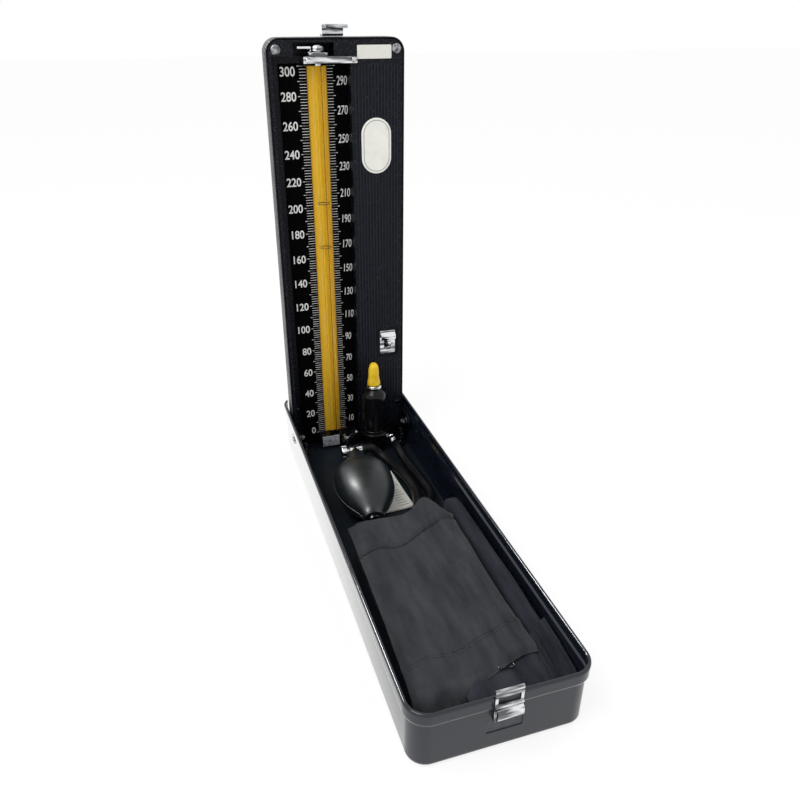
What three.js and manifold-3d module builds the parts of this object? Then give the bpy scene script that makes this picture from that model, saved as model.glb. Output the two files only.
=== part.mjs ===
// Desk mercury sphygmomanometer with its lid stood open: a steel tray that holds the cuff, the bulb and
// the hoses, and a lid that carries the scale, the glass tube and the mercury reservoir.
// Millimetres. X runs to the right, -Y to the latch at the front, Z up from the underside of the tray.
import * as THREE from "three";
import { mergeVertices } from "three/addons/utils/BufferGeometryUtils.js";
import Module from "manifold-3d";

const wasm = await Module();
wasm.setup();

// Running and seating gap between neighbouring pieces
const GAP = 0.3;

// Tray
const TRAY_LENGTH = 352;
const TRAY_WIDTH = 106;
const TRAY_HEIGHT = 41;
const TRAY_CORNER = 13;
const SHEET = 1.2;
const RIM_BAND = 8;
const RIM_STEP = 1.6;
const PANEL_SUNK = 2.1;
const FOOT_ROUND = 2.6;
const REAR_WALL_HEIGHT = 27;

// Lid
const LID_CLEARANCE = 1;
const LID_END_CLEARANCE = 3.5;
const LID_DEPTH = 22;
const LID_SHEET = 1;
const LID_CORNER = 9.5;
const LID_HEEL_CORNER = 6;
const PIVOT_HEIGHT = 25;
const PIVOT_FROM_REAR = 46;
const RIM_BEHIND_PIVOT = 14;
const LUG_RADIUS = 7;
const LUG_SHEET = 1.2;

// Pivot hardware
const SCREW_RADIUS = 2.4;
const SCREW_HEAD_RADIUS = 4.2;
const SCREW_HEAD = 1.1;
const SCREW_END = 0.5;
const WASHER = 1.1;
const NUT = 2.6;

// Stay post and spring under each pivot
const POST_FROM_WALL = 7.1;
const POST_RADIUS = 3.1;
const POST_FLANGE = 5.5;
const POST_HEAD = 1.2;
const PIN_RADIUS = 1.2;
const SPRING_RADIUS = 2.9;
const SPRING_WIRE = 0.9;
const SPRING_CURLS = 3;

// Face panel and its channel
const PANEL_SHEET = 1.6;
const PANEL_INSET = 0.4;
const CHANNEL_FROM_SIDE = 3.7;
const CHANNEL_WIDTH = 55;
const CHANNEL_BELOW_TOP = 11.5;
const CHANNEL_DEPTH = 10.3;
const CHANNEL_SHEET = 1.2;
const WELL_DEPTH = 13.8;
const WELL_LEFT = 17.5;
const WELL_RIGHT = 11;
const WELL_HEIGHT = 8.4;

// Scale, tube and mercury
const TUBE_FROM_CHANNEL = 32.5;
const TUBE_RADIUS = 4.2;
const BORE_RADIUS = 2;
const TUBE_FOOT = 9.5;
const TUBE_BELOW_CHANNEL = 6.5;
const STRIP_WIDTH = 14;
const STRIP_SHEET = 0.6;
const SCALE_SHEET = 0.9;
const SCALE_FROM_CHANNEL = 5.5;
const SCALE_FOOT = 3.4;
const SCALE_BELOW_CHANNEL = 5;
const ZERO_HEIGHT = 11.9;
const BLOCK_WIDTH = 33.5;
const BLOCK_BESIDE_TUBE = 12.5;
const BLOCK_TOP = 14.2;
const FOOT_PLATE_WIDTH = 15;

// Reservoir
const RESERVOIR_BESIDE_CHANNEL = 10;
const RESERVOIR_IN_FRONT = 12;
const RESERVOIR_RADIUS = 10;
const RESERVOIR_BORE = 7.6;
const NECK_BORE = 3;
const RESERVOIR_FOOT = 3.6;
const RESERVOIR_SHOULDER = 56;
const RESERVOIR_NECK = 62;
const COLLAR_HEIGHT = 2.4;
const CAP_HEIGHT = 19.7;
const CAP_RADIUS = 5.4;

// Latch
const LATCH_WIDTH = 16;
const LATCH_FOOT = 24.2;
const LATCH_TOP = 46;
const LATCH_SHEET = 0.8;
const CATCH_WIDTH = 15;
const CATCH_SHEET = 1.2;
const CATCH_RISE = 8;

// Bulb and hoses
const BULB_RADIUS = 23;
const BULB_FLATNESS = 0.775;
const BULB_LENGTH = 91;
const BULB_FROM_WALL = 43.6;
const BULB_BEFORE_PIVOT = 31.5;
const BULB_REAR_HEIGHT = 18.2;
const BULB_TURN = 6.5;
const BULB_TILT = 2;
const VALVE_RADIUS = 4.2;
const VALVE_HEIGHT = 16;
const VALVE_BEFORE_PIVOT = 19;
const HOSE_RADIUS = 3.75;
const CONNECTOR_RADIUS = 3.2;
const CONNECTOR_LENGTH = 9.7;

// Cuff
const CUFF_FROM_WALL = 10.2;
const CUFF_FROM_FRONT = 18;
const CUFF_BEFORE_PIVOT = 125;
const LOWER_FOLD = 8.4;
const BLADDER = 4.7;
const UPPER_FOLD = 15;
const ROLL_FROM_WALL = 1.2;
const ROLL_WIDTH = 14.8;
const ROLL_BEHIND_CUFF = 4;
const ROLL_HEIGHT = 30;

// Places worked out from the sizes
const trayEnd = TRAY_LENGTH / 2;
const traySide = TRAY_WIDTH / 2;
const wallOut = traySide - RIM_STEP;
const wallIn = wallOut - SHEET;
const pivotY = trayEnd - PIVOT_FROM_REAR;
const rimY = pivotY + RIM_BEHIND_PIVOT;
const lidSide = wallIn - LID_CLEARANCE;
const lidTop = trayEnd + pivotY + PIVOT_HEIGHT - LID_END_CLEARANCE;
const lidHeel = SHEET + 0.4;
const floorTop = SHEET + GAP;
const faceY = rimY + PANEL_INSET;
const channelFloor = faceY + CHANNEL_DEPTH;
const channelLeft = -lidSide + CHANNEL_FROM_SIDE;
const channelRight = channelLeft + CHANNEL_WIDTH;
const channelTop = lidTop - CHANNEL_BELOW_TOP;
const tubeX = channelLeft + TUBE_FROM_CHANNEL;
const tubeTop = channelTop - TUBE_BELOW_CHANNEL;
const blockLeft = tubeX - BLOCK_BESIDE_TUBE;
const blockRight = blockLeft + BLOCK_WIDTH;
const scaleY = channelFloor - GAP - SCALE_SHEET;
const stripY = scaleY - GAP - STRIP_SHEET;
const tubeY = stripY - GAP - TUBE_RADIUS;
const blockFront = rimY - GAP;
const reservoirX = channelRight + RESERVOIR_BESIDE_CHANNEL;
const reservoirY = rimY - RESERVOIR_IN_FRONT;
const rollRight = wallIn - ROLL_FROM_WALL;
const rollLeft = rollRight - ROLL_WIDTH;
const cuffLeft = -wallIn + CUFF_FROM_WALL;
const cuffRight = rollLeft - GAP - 0.4;
const cuffFront = -trayEnd + CUFF_FROM_FRONT;
const cuffRear = pivotY - CUFF_BEFORE_PIVOT;

// Materials
const finish = (color, roughness, metalness) => ({ color, roughness, metalness });
const BLACK_ENAMEL = finish(0x0b0b0d, 0.25, 0);
const HAMMERTONE = finish(0x17181b, 0.45, 0.1);
const CHROME = finish(0xd5d7da, 0.12, 1);
const STEEL = finish(0x9a9da1, 0.35, 1);
const AMBER = finish(0xe0a21c, 0.5, 0);
const GLASS = finish(0xe8eef0, 0.05, 0);
const MERCURY = finish(0xc4c7cc, 0.05, 1);
const RUBBER = finish(0x1b1c1e, 0.6, 0);
const CLOTH = finish(0x222326, 0.9, 0);
const YELLOW = finish(0xe9c91f, 0.45, 0);
const LABEL = finish(0xf2f1ec, 0.5, 0);
const GREY_PLATE = finish(0xaab0ba, 0.4, 0.6);

const root = new THREE.Group();
root.name = "sphygmomanometer";

// Closed geometry to a manifold solid, and back
function solid(geometry) {
  const bare = geometry.clone();
  bare.deleteAttribute("normal");
  bare.deleteAttribute("uv");
  const merged = mergeVertices(bare, 1e-4);
  const triVerts = new Uint32Array(merged.index.array);
  const vertProperties = new Float32Array(merged.attributes.position.array);
  return new wasm.Manifold(new wasm.Mesh({ numProp: 3, vertProperties, triVerts }));
}

function toGeometry(manifold) {
  const mesh = manifold.getMesh();
  const geometry = new THREE.BufferGeometry();
  geometry.setAttribute("position", new THREE.BufferAttribute(mesh.vertProperties, 3));
  geometry.setIndex(new THREE.BufferAttribute(mesh.triVerts, 1));
  geometry.computeVertexNormals();
  return geometry;
}

const join = (first, ...rest) => toGeometry(rest.reduce((sum, g) => sum.add(solid(g)), solid(first)));
const cut = (first, ...rest) => toGeometry(rest.reduce((left, g) => left.subtract(solid(g)), solid(first)));

function piece(name, geometry, look) {
  const mesh = new THREE.Mesh(geometry, new THREE.MeshStandardMaterial(look));
  mesh.name = name;
  root.add(mesh);
  return mesh;
}

// Box between two corners
function box([x0, y0, z0], [x1, y1, z1]) {
  const made = new THREE.BoxGeometry(x1 - x0, y1 - y0, z1 - z0);
  return made.translate((x0 + x1) / 2, (y0 + y1) / 2, (z0 + z1) / 2);
}

// Turned piece: [radius, height] pairs up the +Z axis, starting and ending on the axis or closed
function turned(profile, sides = 24) {
  const points = profile.map(([r, h]) => new THREE.Vector2(r, h));
  return new THREE.LatheGeometry(points, sides).rotateX(Math.PI / 2);
}

const disc = (radius, from, to, sides = 24) =>
  turned([[0, from], [radius, from], [radius, to], [0, to]], sides);

const ring = (inner, outer, from, to, sides = 24) =>
  turned([[inner, from], [outer, from], [outer, to], [inner, to], [inner, from]], sides);

const alongX = (geometry) => geometry.rotateY(Math.PI / 2);
const alongY = (geometry) => geometry.rotateX(-Math.PI / 2);

// Outline of a rectangle with a radius on each corner, counter-clockwise from the lower left
function roundedOutline(x0, y0, x1, y1, radii, steps = 5) {
  const centres = [[x0, y0, 1, 1], [x1, y0, -1, 1], [x1, y1, -1, -1], [x0, y1, 1, -1]];
  return centres.flatMap(([x, y, sx, sy], corner) => {
    const r = radii[corner];
    return Array.from({ length: steps + 1 }, (_, i) => {
      const angle = Math.PI * (1 + corner / 2 + i / steps / 2);
      return [x + sx * r + r * Math.cos(angle), y + sy * r + r * Math.sin(angle)];
    });
  });
}

// Solid through a pile of outlines with as many points each, given as [height, outline]
function piled(levels) {
  const count = levels[0][1].length;
  const vertices = levels.flatMap(([z, outline]) => outline.flatMap(([x, y]) => [x, y, z]));
  const triangles = [];
  for (let level = 0; level < levels.length - 1; level++) {
    for (let i = 0; i < count; i++) {
      const a = level * count + i;
      const b = level * count + ((i + 1) % count);
      triangles.push(a, b, b + count, a, b + count, a + count);
    }
  }
  const top = (levels.length - 1) * count;
  for (let i = 1; i < count - 1; i++) {
    triangles.push(0, i + 1, i);
    triangles.push(top, top + i, top + i + 1);
  }
  const geometry = new THREE.BufferGeometry();
  geometry.setAttribute("position", new THREE.Float32BufferAttribute(vertices, 3));
  return geometry.setIndex(triangles);
}

// Flat outline pushed along X between two places: points are [y, z]
function barAlongX(points, from, to) {
  const shape = new THREE.Shape(points.map(([y, z]) => new THREE.Vector2(y, z)));
  const made = new THREE.ExtrudeGeometry(shape, { depth: to - from, bevelEnabled: false, steps: 1 });
  return made.rotateY(Math.PI / 2).rotateX(Math.PI / 2).translate(from, 0, 0);
}

// Round tube along a list of points
function tubeAlong(points, radius, sides, steps) {
  const corner = (i) => (2 * Math.PI * i) / sides;
  const section = Array.from({ length: sides }, (_, i) =>
    new THREE.Vector2(radius * Math.cos(corner(i)), radius * Math.sin(corner(i))));
  const path = new THREE.CatmullRomCurve3(points.map((p) => new THREE.Vector3(...p)), false, "centripetal");
  return new THREE.ExtrudeGeometry(new THREE.Shape(section), { steps, extrudePath: path });
}

// Tray outline drawn in from the rim's outer face
const trayOutline = (inset) =>
  roundedOutline(
    -traySide + inset,
    -trayEnd + inset,
    traySide - inset,
    trayEnd - inset,
    Array(4).fill(TRAY_CORNER - Math.min(inset, RIM_STEP + SHEET)),
  );

function makeTray() {
  const bandFoot = TRAY_HEIGHT - RIM_BAND;
  const body = RIM_STEP + SHEET;
  const outer = piled([
    [0, trayOutline(RIM_STEP + FOOT_ROUND)],
    [FOOT_ROUND * 0.3, trayOutline(RIM_STEP + FOOT_ROUND * 0.3)],
    [FOOT_ROUND, trayOutline(RIM_STEP)],
    [bandFoot - RIM_STEP, trayOutline(RIM_STEP)],
    [bandFoot, trayOutline(0)],
    [TRAY_HEIGHT, trayOutline(0)],
  ]);
  const inner = piled([
    [SHEET, trayOutline(body + FOOT_ROUND)],
    [SHEET + FOOT_ROUND, trayOutline(body)],
    [bandFoot + SHEET - RIM_STEP, trayOutline(body)],
    [bandFoot + SHEET, trayOutline(SHEET)],
    [TRAY_HEIGHT + 1, trayOutline(SHEET)],
  ]);
  const ear = TRAY_CORNER / 3;
  const rearGap = box(
    [-traySide + ear, trayEnd - TRAY_CORNER, REAR_WALL_HEIGHT],
    [traySide - ear, trayEnd + 1, TRAY_HEIGHT + 1],
  );
  const latchPanel = box(
    [-LATCH_WIDTH / 2 - 2.5, -trayEnd, 13],
    [LATCH_WIDTH / 2 + 2.5, -trayEnd + PANEL_SUNK, bandFoot - RIM_STEP],
  );
  const pivotHoles = alongX(disc(SCREW_RADIUS + GAP, -traySide - 1, traySide + 1, 16));
  return cut(outer, inner, rearGap, latchPanel, pivotHoles.translate(0, pivotY, PIVOT_HEIGHT));
}

// Lid outline in X and Z drawn in from its outer face
const lidOutline = (inset) =>
  roundedOutline(
    -lidSide + inset,
    lidHeel + inset,
    lidSide - inset,
    lidTop - inset,
    [LID_HEEL_CORNER, LID_HEEL_CORNER, LID_CORNER, LID_CORNER].map((r) => Math.max(r - inset, 1)),
  );

// A pile that grows along -Y instead of +Z: heights are given as distances behind the rim plane
const pileBehindRim = (levels) =>
  piled(levels.map(([depth, outline]) => [-depth, outline])).rotateX(Math.PI / 2).translate(0, rimY, 0);

const backRound = [[0, 7], [0.3, 4.9], [1.4, 2.9], [3.5, 1], [6, 0]];

function makeLidShell() {
  const outer = pileBehindRim([
    ...backRound.map(([fromBack, inset]) => [LID_DEPTH - fromBack, lidOutline(inset)]),
    [0, lidOutline(0)],
  ]);
  const inner = pileBehindRim([
    ...backRound.map(([fromBack, inset]) =>
      [LID_DEPTH - LID_SHEET - fromBack, lidOutline(inset + LID_SHEET)]),
    [-1, lidOutline(LID_SHEET)],
  ]);
  const lug = (side) => {
    const from = side * lidSide;
    const to = side * (lidSide - LUG_SHEET);
    const [x0, x1] = [Math.min(from, to), Math.max(from, to)];
    const round = alongX(disc(LUG_RADIUS, x0, x1, 28)).translate(0, pivotY, PIVOT_HEIGHT);
    const neck = box([x0, pivotY, PIVOT_HEIGHT - LUG_RADIUS], [x1, rimY + 6, PIVOT_HEIGHT + LUG_RADIUS]);
    return [round, neck];
  };
  const shell = cut(outer, inner);
  const holes = alongX(disc(SCREW_RADIUS + GAP, -traySide, traySide, 16)).translate(0, pivotY, PIVOT_HEIGHT);
  return cut(join(shell, ...lug(-1), ...lug(1)), holes);
}

piece("base_tray", makeTray(), BLACK_ENAMEL);
piece("lid_shell", makeLidShell(), HAMMERTONE);

// Pivot screw, washer and nut on each side, and the stay post with its spring under them
const lugIn = lidSide - LUG_SHEET;
const washerIn = lugIn - GAP - WASHER;
const nutOut = washerIn - GAP;
const postX = wallIn - POST_FROM_WALL;
const flangeTop = floorTop + POST_FLANGE;
const postTop = PIVOT_HEIGHT - SCREW_HEAD_RADIUS - GAP;
const headFoot = postTop - POST_HEAD;

function springPath() {
  const from = flangeTop + GAP;
  const to = headFoot - GAP;
  const radius = SPRING_RADIUS - SPRING_WIRE / 2;
  const steps = SPRING_CURLS * 8;
  const lead = SPRING_WIRE;
  const wound = Array.from({ length: steps + 1 }, (_, i) => {
    const angle = (2 * Math.PI * i) / 8;
    const height = from + lead + ((to - from - 2 * lead) * i) / steps;
    return [radius * Math.cos(angle), radius * Math.sin(angle), height];
  });
  return [[radius, 0, from], ...wound, [radius, 0, to]];
}

// Least clear distance between turns that aren't neighbours on the wire
function leastGap(points, wire) {
  let least = Infinity;
  points.forEach((p, i) =>
    points.slice(i + 6).forEach((q) => {
      least = Math.min(least, Math.hypot(p[0] - q[0], p[1] - q[1], p[2] - q[2]) - wire);
    }));
  return least;
}

const springPoints = springPath();
const turnGap = leastGap(springPoints, SPRING_WIRE);
console.log(`stay spring, least gap between turns: ${turnGap.toFixed(2)} mm`);

for (const [side, name] of [[-1, "left"], [1, "right"]]) {
  const place = (geometry) => {
    if (side < 0) geometry.rotateZ(Math.PI);
    return geometry.translate(0, pivotY, PIVOT_HEIGHT);
  };
  const headIn = wallOut + GAP;
  const end = nutOut - NUT - SCREW_END;
  const screw = turned([
    [0, end],
    [SCREW_RADIUS, end],
    [SCREW_RADIUS, headIn],
    [SCREW_HEAD_RADIUS, headIn],
    [SCREW_HEAD_RADIUS * 0.8, headIn + SCREW_HEAD],
    [0, headIn + SCREW_HEAD],
  ], 20);
  const bore = SCREW_RADIUS + GAP;
  const washer = ring(bore, SCREW_HEAD_RADIUS + 0.8, washerIn, washerIn + WASHER);
  const hexagon = disc(SCREW_HEAD_RADIUS, nutOut - NUT, nutOut, 6);
  const nut = cut(hexagon, disc(bore, nutOut - NUT - 1, nutOut + 1, 16));
  const post = turned([
    [0, floorTop],
    [POST_RADIUS, floorTop],
    [POST_RADIUS, flangeTop],
    [PIN_RADIUS, flangeTop],
    [PIN_RADIUS, headFoot],
    [POST_RADIUS, headFoot],
    [POST_RADIUS, postTop],
    [0, postTop],
  ], 20);
  const spring = tubeAlong(springPoints, SPRING_WIRE / 2, 5, springPoints.length + 9);
  piece(`pivot_screw_${name}`, place(alongX(screw)), CHROME);
  piece(`pivot_washer_${name}`, place(alongX(washer)), STEEL);
  piece(`pivot_nut_${name}`, place(alongX(nut)), CHROME);
  piece(`stay_post_${name}`, post.translate(side * postX, pivotY, 0), CHROME);
  piece(`stay_spring_${name}`, spring.translate(side * postX, pivotY, 0), STEEL);
}

// Face panel: a sheet inside the lid's rim with a sunk channel for the scale and a pocket for the clip
const CLIP = { fromSide: 22.7, width: 18, foot: 84, height: 26 };
const clipLeft = lidSide - CLIP.fromSide;
const rivets = [
  ["panel_rivet_left", 6.8 - lidSide, lidTop - 7.3, 3.4, faceY, PANEL_SHEET],
  ["panel_rivet_right", lidSide - 6, lidTop - 7.3, 3.4, faceY, PANEL_SHEET],
  ["foot_screw_left", channelLeft + 2.6, 38, 2.2, channelFloor, CHANNEL_SHEET],
  ["foot_screw_right", lidSide - 5, 38, 2.2, faceY, PANEL_SHEET],
];
const RIVET_SHANK = 1.5;
const RIVET_HEAD = 1.1;

function makeFacePanel() {
  const inset = LID_SHEET + GAP;
  const sheet = pileBehindRim([
    [PANEL_INSET + PANEL_SHEET, lidOutline(inset)],
    [PANEL_INSET, lidOutline(inset)],
  ]);
  const heel = lidHeel + inset;
  const wall = CHANNEL_SHEET;
  const behind = faceY + PANEL_SHEET / 2;
  const trough = box(
    [channelLeft - wall, behind, heel + LID_HEEL_CORNER / 2],
    [channelRight + wall, channelFloor + wall, channelTop + wall],
  );
  const wellWalls = box(
    [tubeX - WELL_LEFT - wall, behind, channelTop - wall],
    [tubeX + WELL_RIGHT + wall, faceY + WELL_DEPTH + wall, channelTop + WELL_HEIGHT + wall],
  );
  const hollow = box([channelLeft, faceY - 1, heel - 1], [channelRight, channelFloor, channelTop]);
  const well = box(
    [tubeX - WELL_LEFT, faceY - 1, channelTop],
    [tubeX + WELL_RIGHT, faceY + WELL_DEPTH, channelTop + WELL_HEIGHT],
  );
  const pocket = box(
    [clipLeft, faceY - 1, CLIP.foot],
    [clipLeft + CLIP.width, faceY + PANEL_SHEET / 2, CLIP.foot + CLIP.height],
  );
  const holes = rivets.map(([, x, z, , face, thickness]) =>
    alongY(disc(RIVET_SHANK + GAP, face - 1, face + thickness + 1, 12)).translate(x, 0, z));
  return cut(join(sheet, trough, wellWalls), hollow, well, pocket, ...holes);
}

piece("face_panel", makeFacePanel(), HAMMERTONE);

for (const [name, x, z, radius, face, thickness] of rivets) {
  const end = RIVET_HEAD + GAP + thickness;
  const dome = [[0, 0], [radius * 0.55, 0.25], [radius * 0.85, 0.7], [radius, RIVET_HEAD]];
  const shank = [[RIVET_SHANK, RIVET_HEAD], [RIVET_SHANK, end], [0, end]];
  const rivet = turned([...dome, ...shank], 20);
  piece(name, alongY(rivet).translate(x, face - GAP - RIVET_HEAD, z), STEEL);
}

// Scale plate with the amber strip, the glass tube and what seals and feeds it
const scaleTop = [channelRight - GAP, scaleY + SCALE_SHEET, channelTop - SCALE_BELOW_CHANNEL];
const stripTop = [tubeX + STRIP_WIDTH / 2, stripY + STRIP_SHEET, tubeTop];
const atTube = (geometry) => geometry.translate(tubeX, tubeY, 0);
piece("scale_plate", box([channelLeft + SCALE_FROM_CHANNEL, scaleY, SCALE_FOOT], scaleTop), BLACK_ENAMEL);
piece("backing_strip", box([tubeX - STRIP_WIDTH / 2, stripY, BLOCK_TOP + GAP], stripTop), AMBER);
piece("gauge_tube", atTube(ring(BORE_RADIUS, TUBE_RADIUS, TUBE_FOOT, tubeTop, 20)), GLASS);

const column = BORE_RADIUS - GAP;
piece("mercury_column", atTube(turned([
  [0, TUBE_FOOT - 2],
  [column, TUBE_FOOT - 2],
  [column, ZERO_HEIGHT - 0.6],
  [column * 0.7, ZERO_HEIGHT - 0.15],
  [0, ZERO_HEIGHT],
], 16)), MERCURY);

const sealTop = TUBE_FOOT - GAP;
const sealFoot = sealTop - 2.4;
piece("tube_foot_seal", atTube(ring(BORE_RADIUS, TUBE_RADIUS, sealFoot, sealTop, 20)), RUBBER);

function makeBlock() {
  const body = box([blockLeft, blockFront, sealFoot - 2.6], [blockRight, scaleY - GAP, BLOCK_TOP]);
  const socket = disc(TUBE_RADIUS + GAP, sealFoot - GAP, BLOCK_TOP + 1, 20);
  return cut(body, atTube(socket));
}
piece("manifold_block", makeBlock(), BLACK_ENAMEL);
piece("foot_plate", box([blockLeft + 1, blockFront - GAP - 0.6, sealFoot - 2.4],
  [blockLeft + 1 + FOOT_PLATE_WIDTH, blockFront - GAP, BLOCK_TOP - 0.2]), GREY_PLATE);

// Shut-off cock on the block's front, with its lever at rest up to the right
const COCK_X = tubeX + 8.5;
const COCK_Z = 10.4;
const COCK_RADIUS = 3.4;
const COCK_LENGTH = 6.5;
const LEVER_REACH = 14;
const LEVER_SHEET = 1.4;
const LEVER_ANGLE = 48;
const LEVER_HALF = 2.2;
const cockFront = blockFront - GAP - COCK_LENGTH;
const plug = alongY(disc(COCK_RADIUS, cockFront, blockFront - GAP));
piece("cock_body", plug.translate(COCK_X, 0, COCK_Z), CHROME);

function makeLever() {
  const back = cockFront - GAP;
  const hub = alongY(disc(COCK_RADIUS * 0.8, back - LEVER_SHEET - 0.8, back, 20));
  const arm = box([0, back - LEVER_SHEET, -LEVER_HALF], [LEVER_REACH, back, LEVER_HALF]);
  const tip = box([LEVER_REACH - LEVER_SHEET, back - 4.6, -LEVER_HALF], [LEVER_REACH, back, LEVER_HALF]);
  const turn = (-LEVER_ANGLE * Math.PI) / 180;
  return join(hub, arm, tip).rotateY(turn).translate(COCK_X, 0, COCK_Z);
}
piece("cock_lever", makeLever(), CHROME);

// Top of the tube: ferrule, bracket across the channel, its screws and the cap
const BRACKET_TOP = channelTop - 0.2;
const BRACKET_FOOT = BRACKET_TOP - 4.4;
const FERRULE_RADIUS = 2.6;
const BRACKET_LEFT = tubeX - 11;
const BRACKET_RIGHT = channelRight + 4.5;
const CAP_NUT_RADIUS = 8.6;
const TAB_LENGTH = 15;
const bracketFront = rimY - 1.9;
const bracketBack = faceY - GAP;
piece("tube_ferrule", atTube(ring(1, FERRULE_RADIUS, tubeTop + GAP, BRACKET_TOP + 1.6, 20)), CHROME);

const bracketScrews = [
  ["bracket_screw_left", BRACKET_LEFT + 3],
  ["bracket_screw_right", BRACKET_RIGHT - 2.6],
];
const bracketMid = (BRACKET_FOOT + BRACKET_TOP) / 2;

function makeBracket() {
  const corner = [BRACKET_LEFT, bracketFront, BRACKET_FOOT];
  const bar = box(corner, [BRACKET_RIGHT, bracketBack, BRACKET_TOP]);
  const post = box(corner, [BRACKET_LEFT + 4, channelFloor - GAP, BRACKET_TOP]);
  const boss = atTube(disc(TUBE_RADIUS + 1.8, BRACKET_FOOT, BRACKET_TOP, 28));
  const bore = atTube(disc(FERRULE_RADIUS + GAP, BRACKET_FOOT - 1, BRACKET_TOP + 1, 20));
  return cut(join(bar, boss, post), bore);
}
piece("top_bracket", makeBracket(), CHROME);
for (const [name, x] of bracketScrews) {
  const head = turned([[0, 0], [1.4, 0.2], [1.9, 0.9], [1.9, 1.2], [0, 1.2]], 16);
  piece(name, alongY(head).translate(x, bracketFront - GAP - 1.2, bracketMid), STEEL);
}

function makeTubeCap() {
  const foot = BRACKET_TOP + GAP;
  const cap = atTube(turned([
    [FERRULE_RADIUS + GAP, foot],
    [CAP_NUT_RADIUS, foot],
    [CAP_NUT_RADIUS, foot + 2.4],
    [CAP_NUT_RADIUS - 2, foot + 3],
    [CAP_NUT_RADIUS - 3.2, foot + 6.2],
    [CAP_NUT_RADIUS - 5, foot + 7.4],
    [0, foot + 7.4],
    [0, foot + 2.2],
    [FERRULE_RADIUS + GAP, foot + 2.2],
    [FERRULE_RADIUS + GAP, foot],
  ], 28));
  const tab = box([tubeX - TAB_LENGTH, tubeY - 2.2, foot + 4.4], [tubeX, tubeY + 2.2, foot + 6]);
  return join(cap, tab);
}
piece("tube_cap", makeTubeCap(), CHROME);

// Mercury reservoir in front of the panel, with its collar, soft cap and hose nipple
const FLANGE_RADIUS = RESERVOIR_RADIUS + 1.4;
const FLANGE_FOOT = 17.5;
const NIPPLE_RADIUS = 2.8;
const NIPPLE_REACH = 14;
const NIPPLE_Z = 13;
const NIPPLE_LENGTH = 17;
const nippleX = reservoirX + NIPPLE_REACH;
const nippleFront = reservoirY - NIPPLE_LENGTH;
const atReservoir = (geometry) => geometry.translate(reservoirX, reservoirY, 0);

function makeReservoir() {
  const inside = RESERVOIR_BORE;
  const floor = RESERVOIR_FOOT + 2;
  const shell = atReservoir(turned([
    [0, RESERVOIR_FOOT],
    [RESERVOIR_RADIUS - 1.6, RESERVOIR_FOOT],
    [RESERVOIR_RADIUS - 0.8, RESERVOIR_FOOT + 0.8],
    [RESERVOIR_RADIUS - 0.8, FLANGE_FOOT],
    [FLANGE_RADIUS, FLANGE_FOOT],
    [FLANGE_RADIUS, FLANGE_FOOT + 3],
    [RESERVOIR_RADIUS, FLANGE_FOOT + 3],
    [RESERVOIR_RADIUS, RESERVOIR_SHOULDER],
    [RESERVOIR_RADIUS - 1.6, RESERVOIR_SHOULDER + 3.4],
    [RESERVOIR_RADIUS - 4.3, RESERVOIR_SHOULDER + 5.4],
    [RESERVOIR_RADIUS - 4.3, RESERVOIR_NECK],
    [NECK_BORE, RESERVOIR_NECK],
    [NECK_BORE, RESERVOIR_SHOULDER + 2],
    [inside, RESERVOIR_SHOULDER - 1],
    [inside, floor],
    [0, floor],
  ], 32));
  const foot = box([reservoirX - 7.4, reservoirY + inside + 0.6, RESERVOIR_FOOT + 1],
    [reservoirX + 7.4, faceY - GAP, FLANGE_FOOT - 1]);
  const duct = box([blockRight + GAP, blockFront, RESERVOIR_FOOT + 1],
    [reservoirX, faceY - GAP, BLOCK_TOP - 2]);
  return join(shell, foot, duct);
}
piece("reservoir_body", makeReservoir(), BLACK_ENAMEL);
const charge = disc(RESERVOIR_BORE - GAP, RESERVOIR_FOOT + 2 + GAP, ZERO_HEIGHT, 24);
piece("mercury_charge", atReservoir(charge), MERCURY);

const collarFoot = RESERVOIR_NECK + GAP;
const capFoot = collarFoot + COLLAR_HEIGHT + GAP;
const collar = ring(NECK_BORE, CAP_RADIUS + 1, collarFoot, collarFoot + COLLAR_HEIGHT, 28);
piece("reservoir_collar", atReservoir(collar), CHROME);

function makeSoftCap() {
  const profile = [
    [0, 0], [0.88, 0], [1, 0.05], [1, 0.14], [0.86, 0.24], [0.84, 0.42],
    [0.78, 0.66], [0.66, 0.86], [0.48, 0.96], [0.22, 1], [0, 1],
  ];
  return atReservoir(turned(profile.map(([r, h]) => [r * CAP_RADIUS, capFoot + h * CAP_HEIGHT]), 24));
}
piece("soft_cap", makeSoftCap(), YELLOW);

function makeNipple() {
  const left = reservoirX + RESERVOIR_RADIUS - 0.8 + GAP;
  const stem = alongX(disc(NIPPLE_RADIUS, left, nippleX, 16)).translate(0, reservoirY - 2, NIPPLE_Z);
  const barb = alongY(disc(NIPPLE_RADIUS, nippleFront, reservoirY - 2 + NIPPLE_RADIUS, 16));
  const bead = alongY(disc(NIPPLE_RADIUS + 0.9, nippleFront + 3, nippleFront + 5, 16));
  return join(stem, barb.translate(nippleX, 0, NIPPLE_Z), bead.translate(nippleX, 0, NIPPLE_Z));
}
piece("hose_nipple", makeNipple(), CHROME);

// What is fixed on the face panel: blank oval plate, blank label and the chrome clip
const OVAL = { fromSide: 21.6, belowTop: 72.3, width: 22.6, height: 39.3, sheet: 0.8, sides: 40 };
const LABEL_BOX = { fromSide: 9.8, belowTop: 4.9, width: 25, height: 8.8, sheet: 0.3 };

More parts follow.
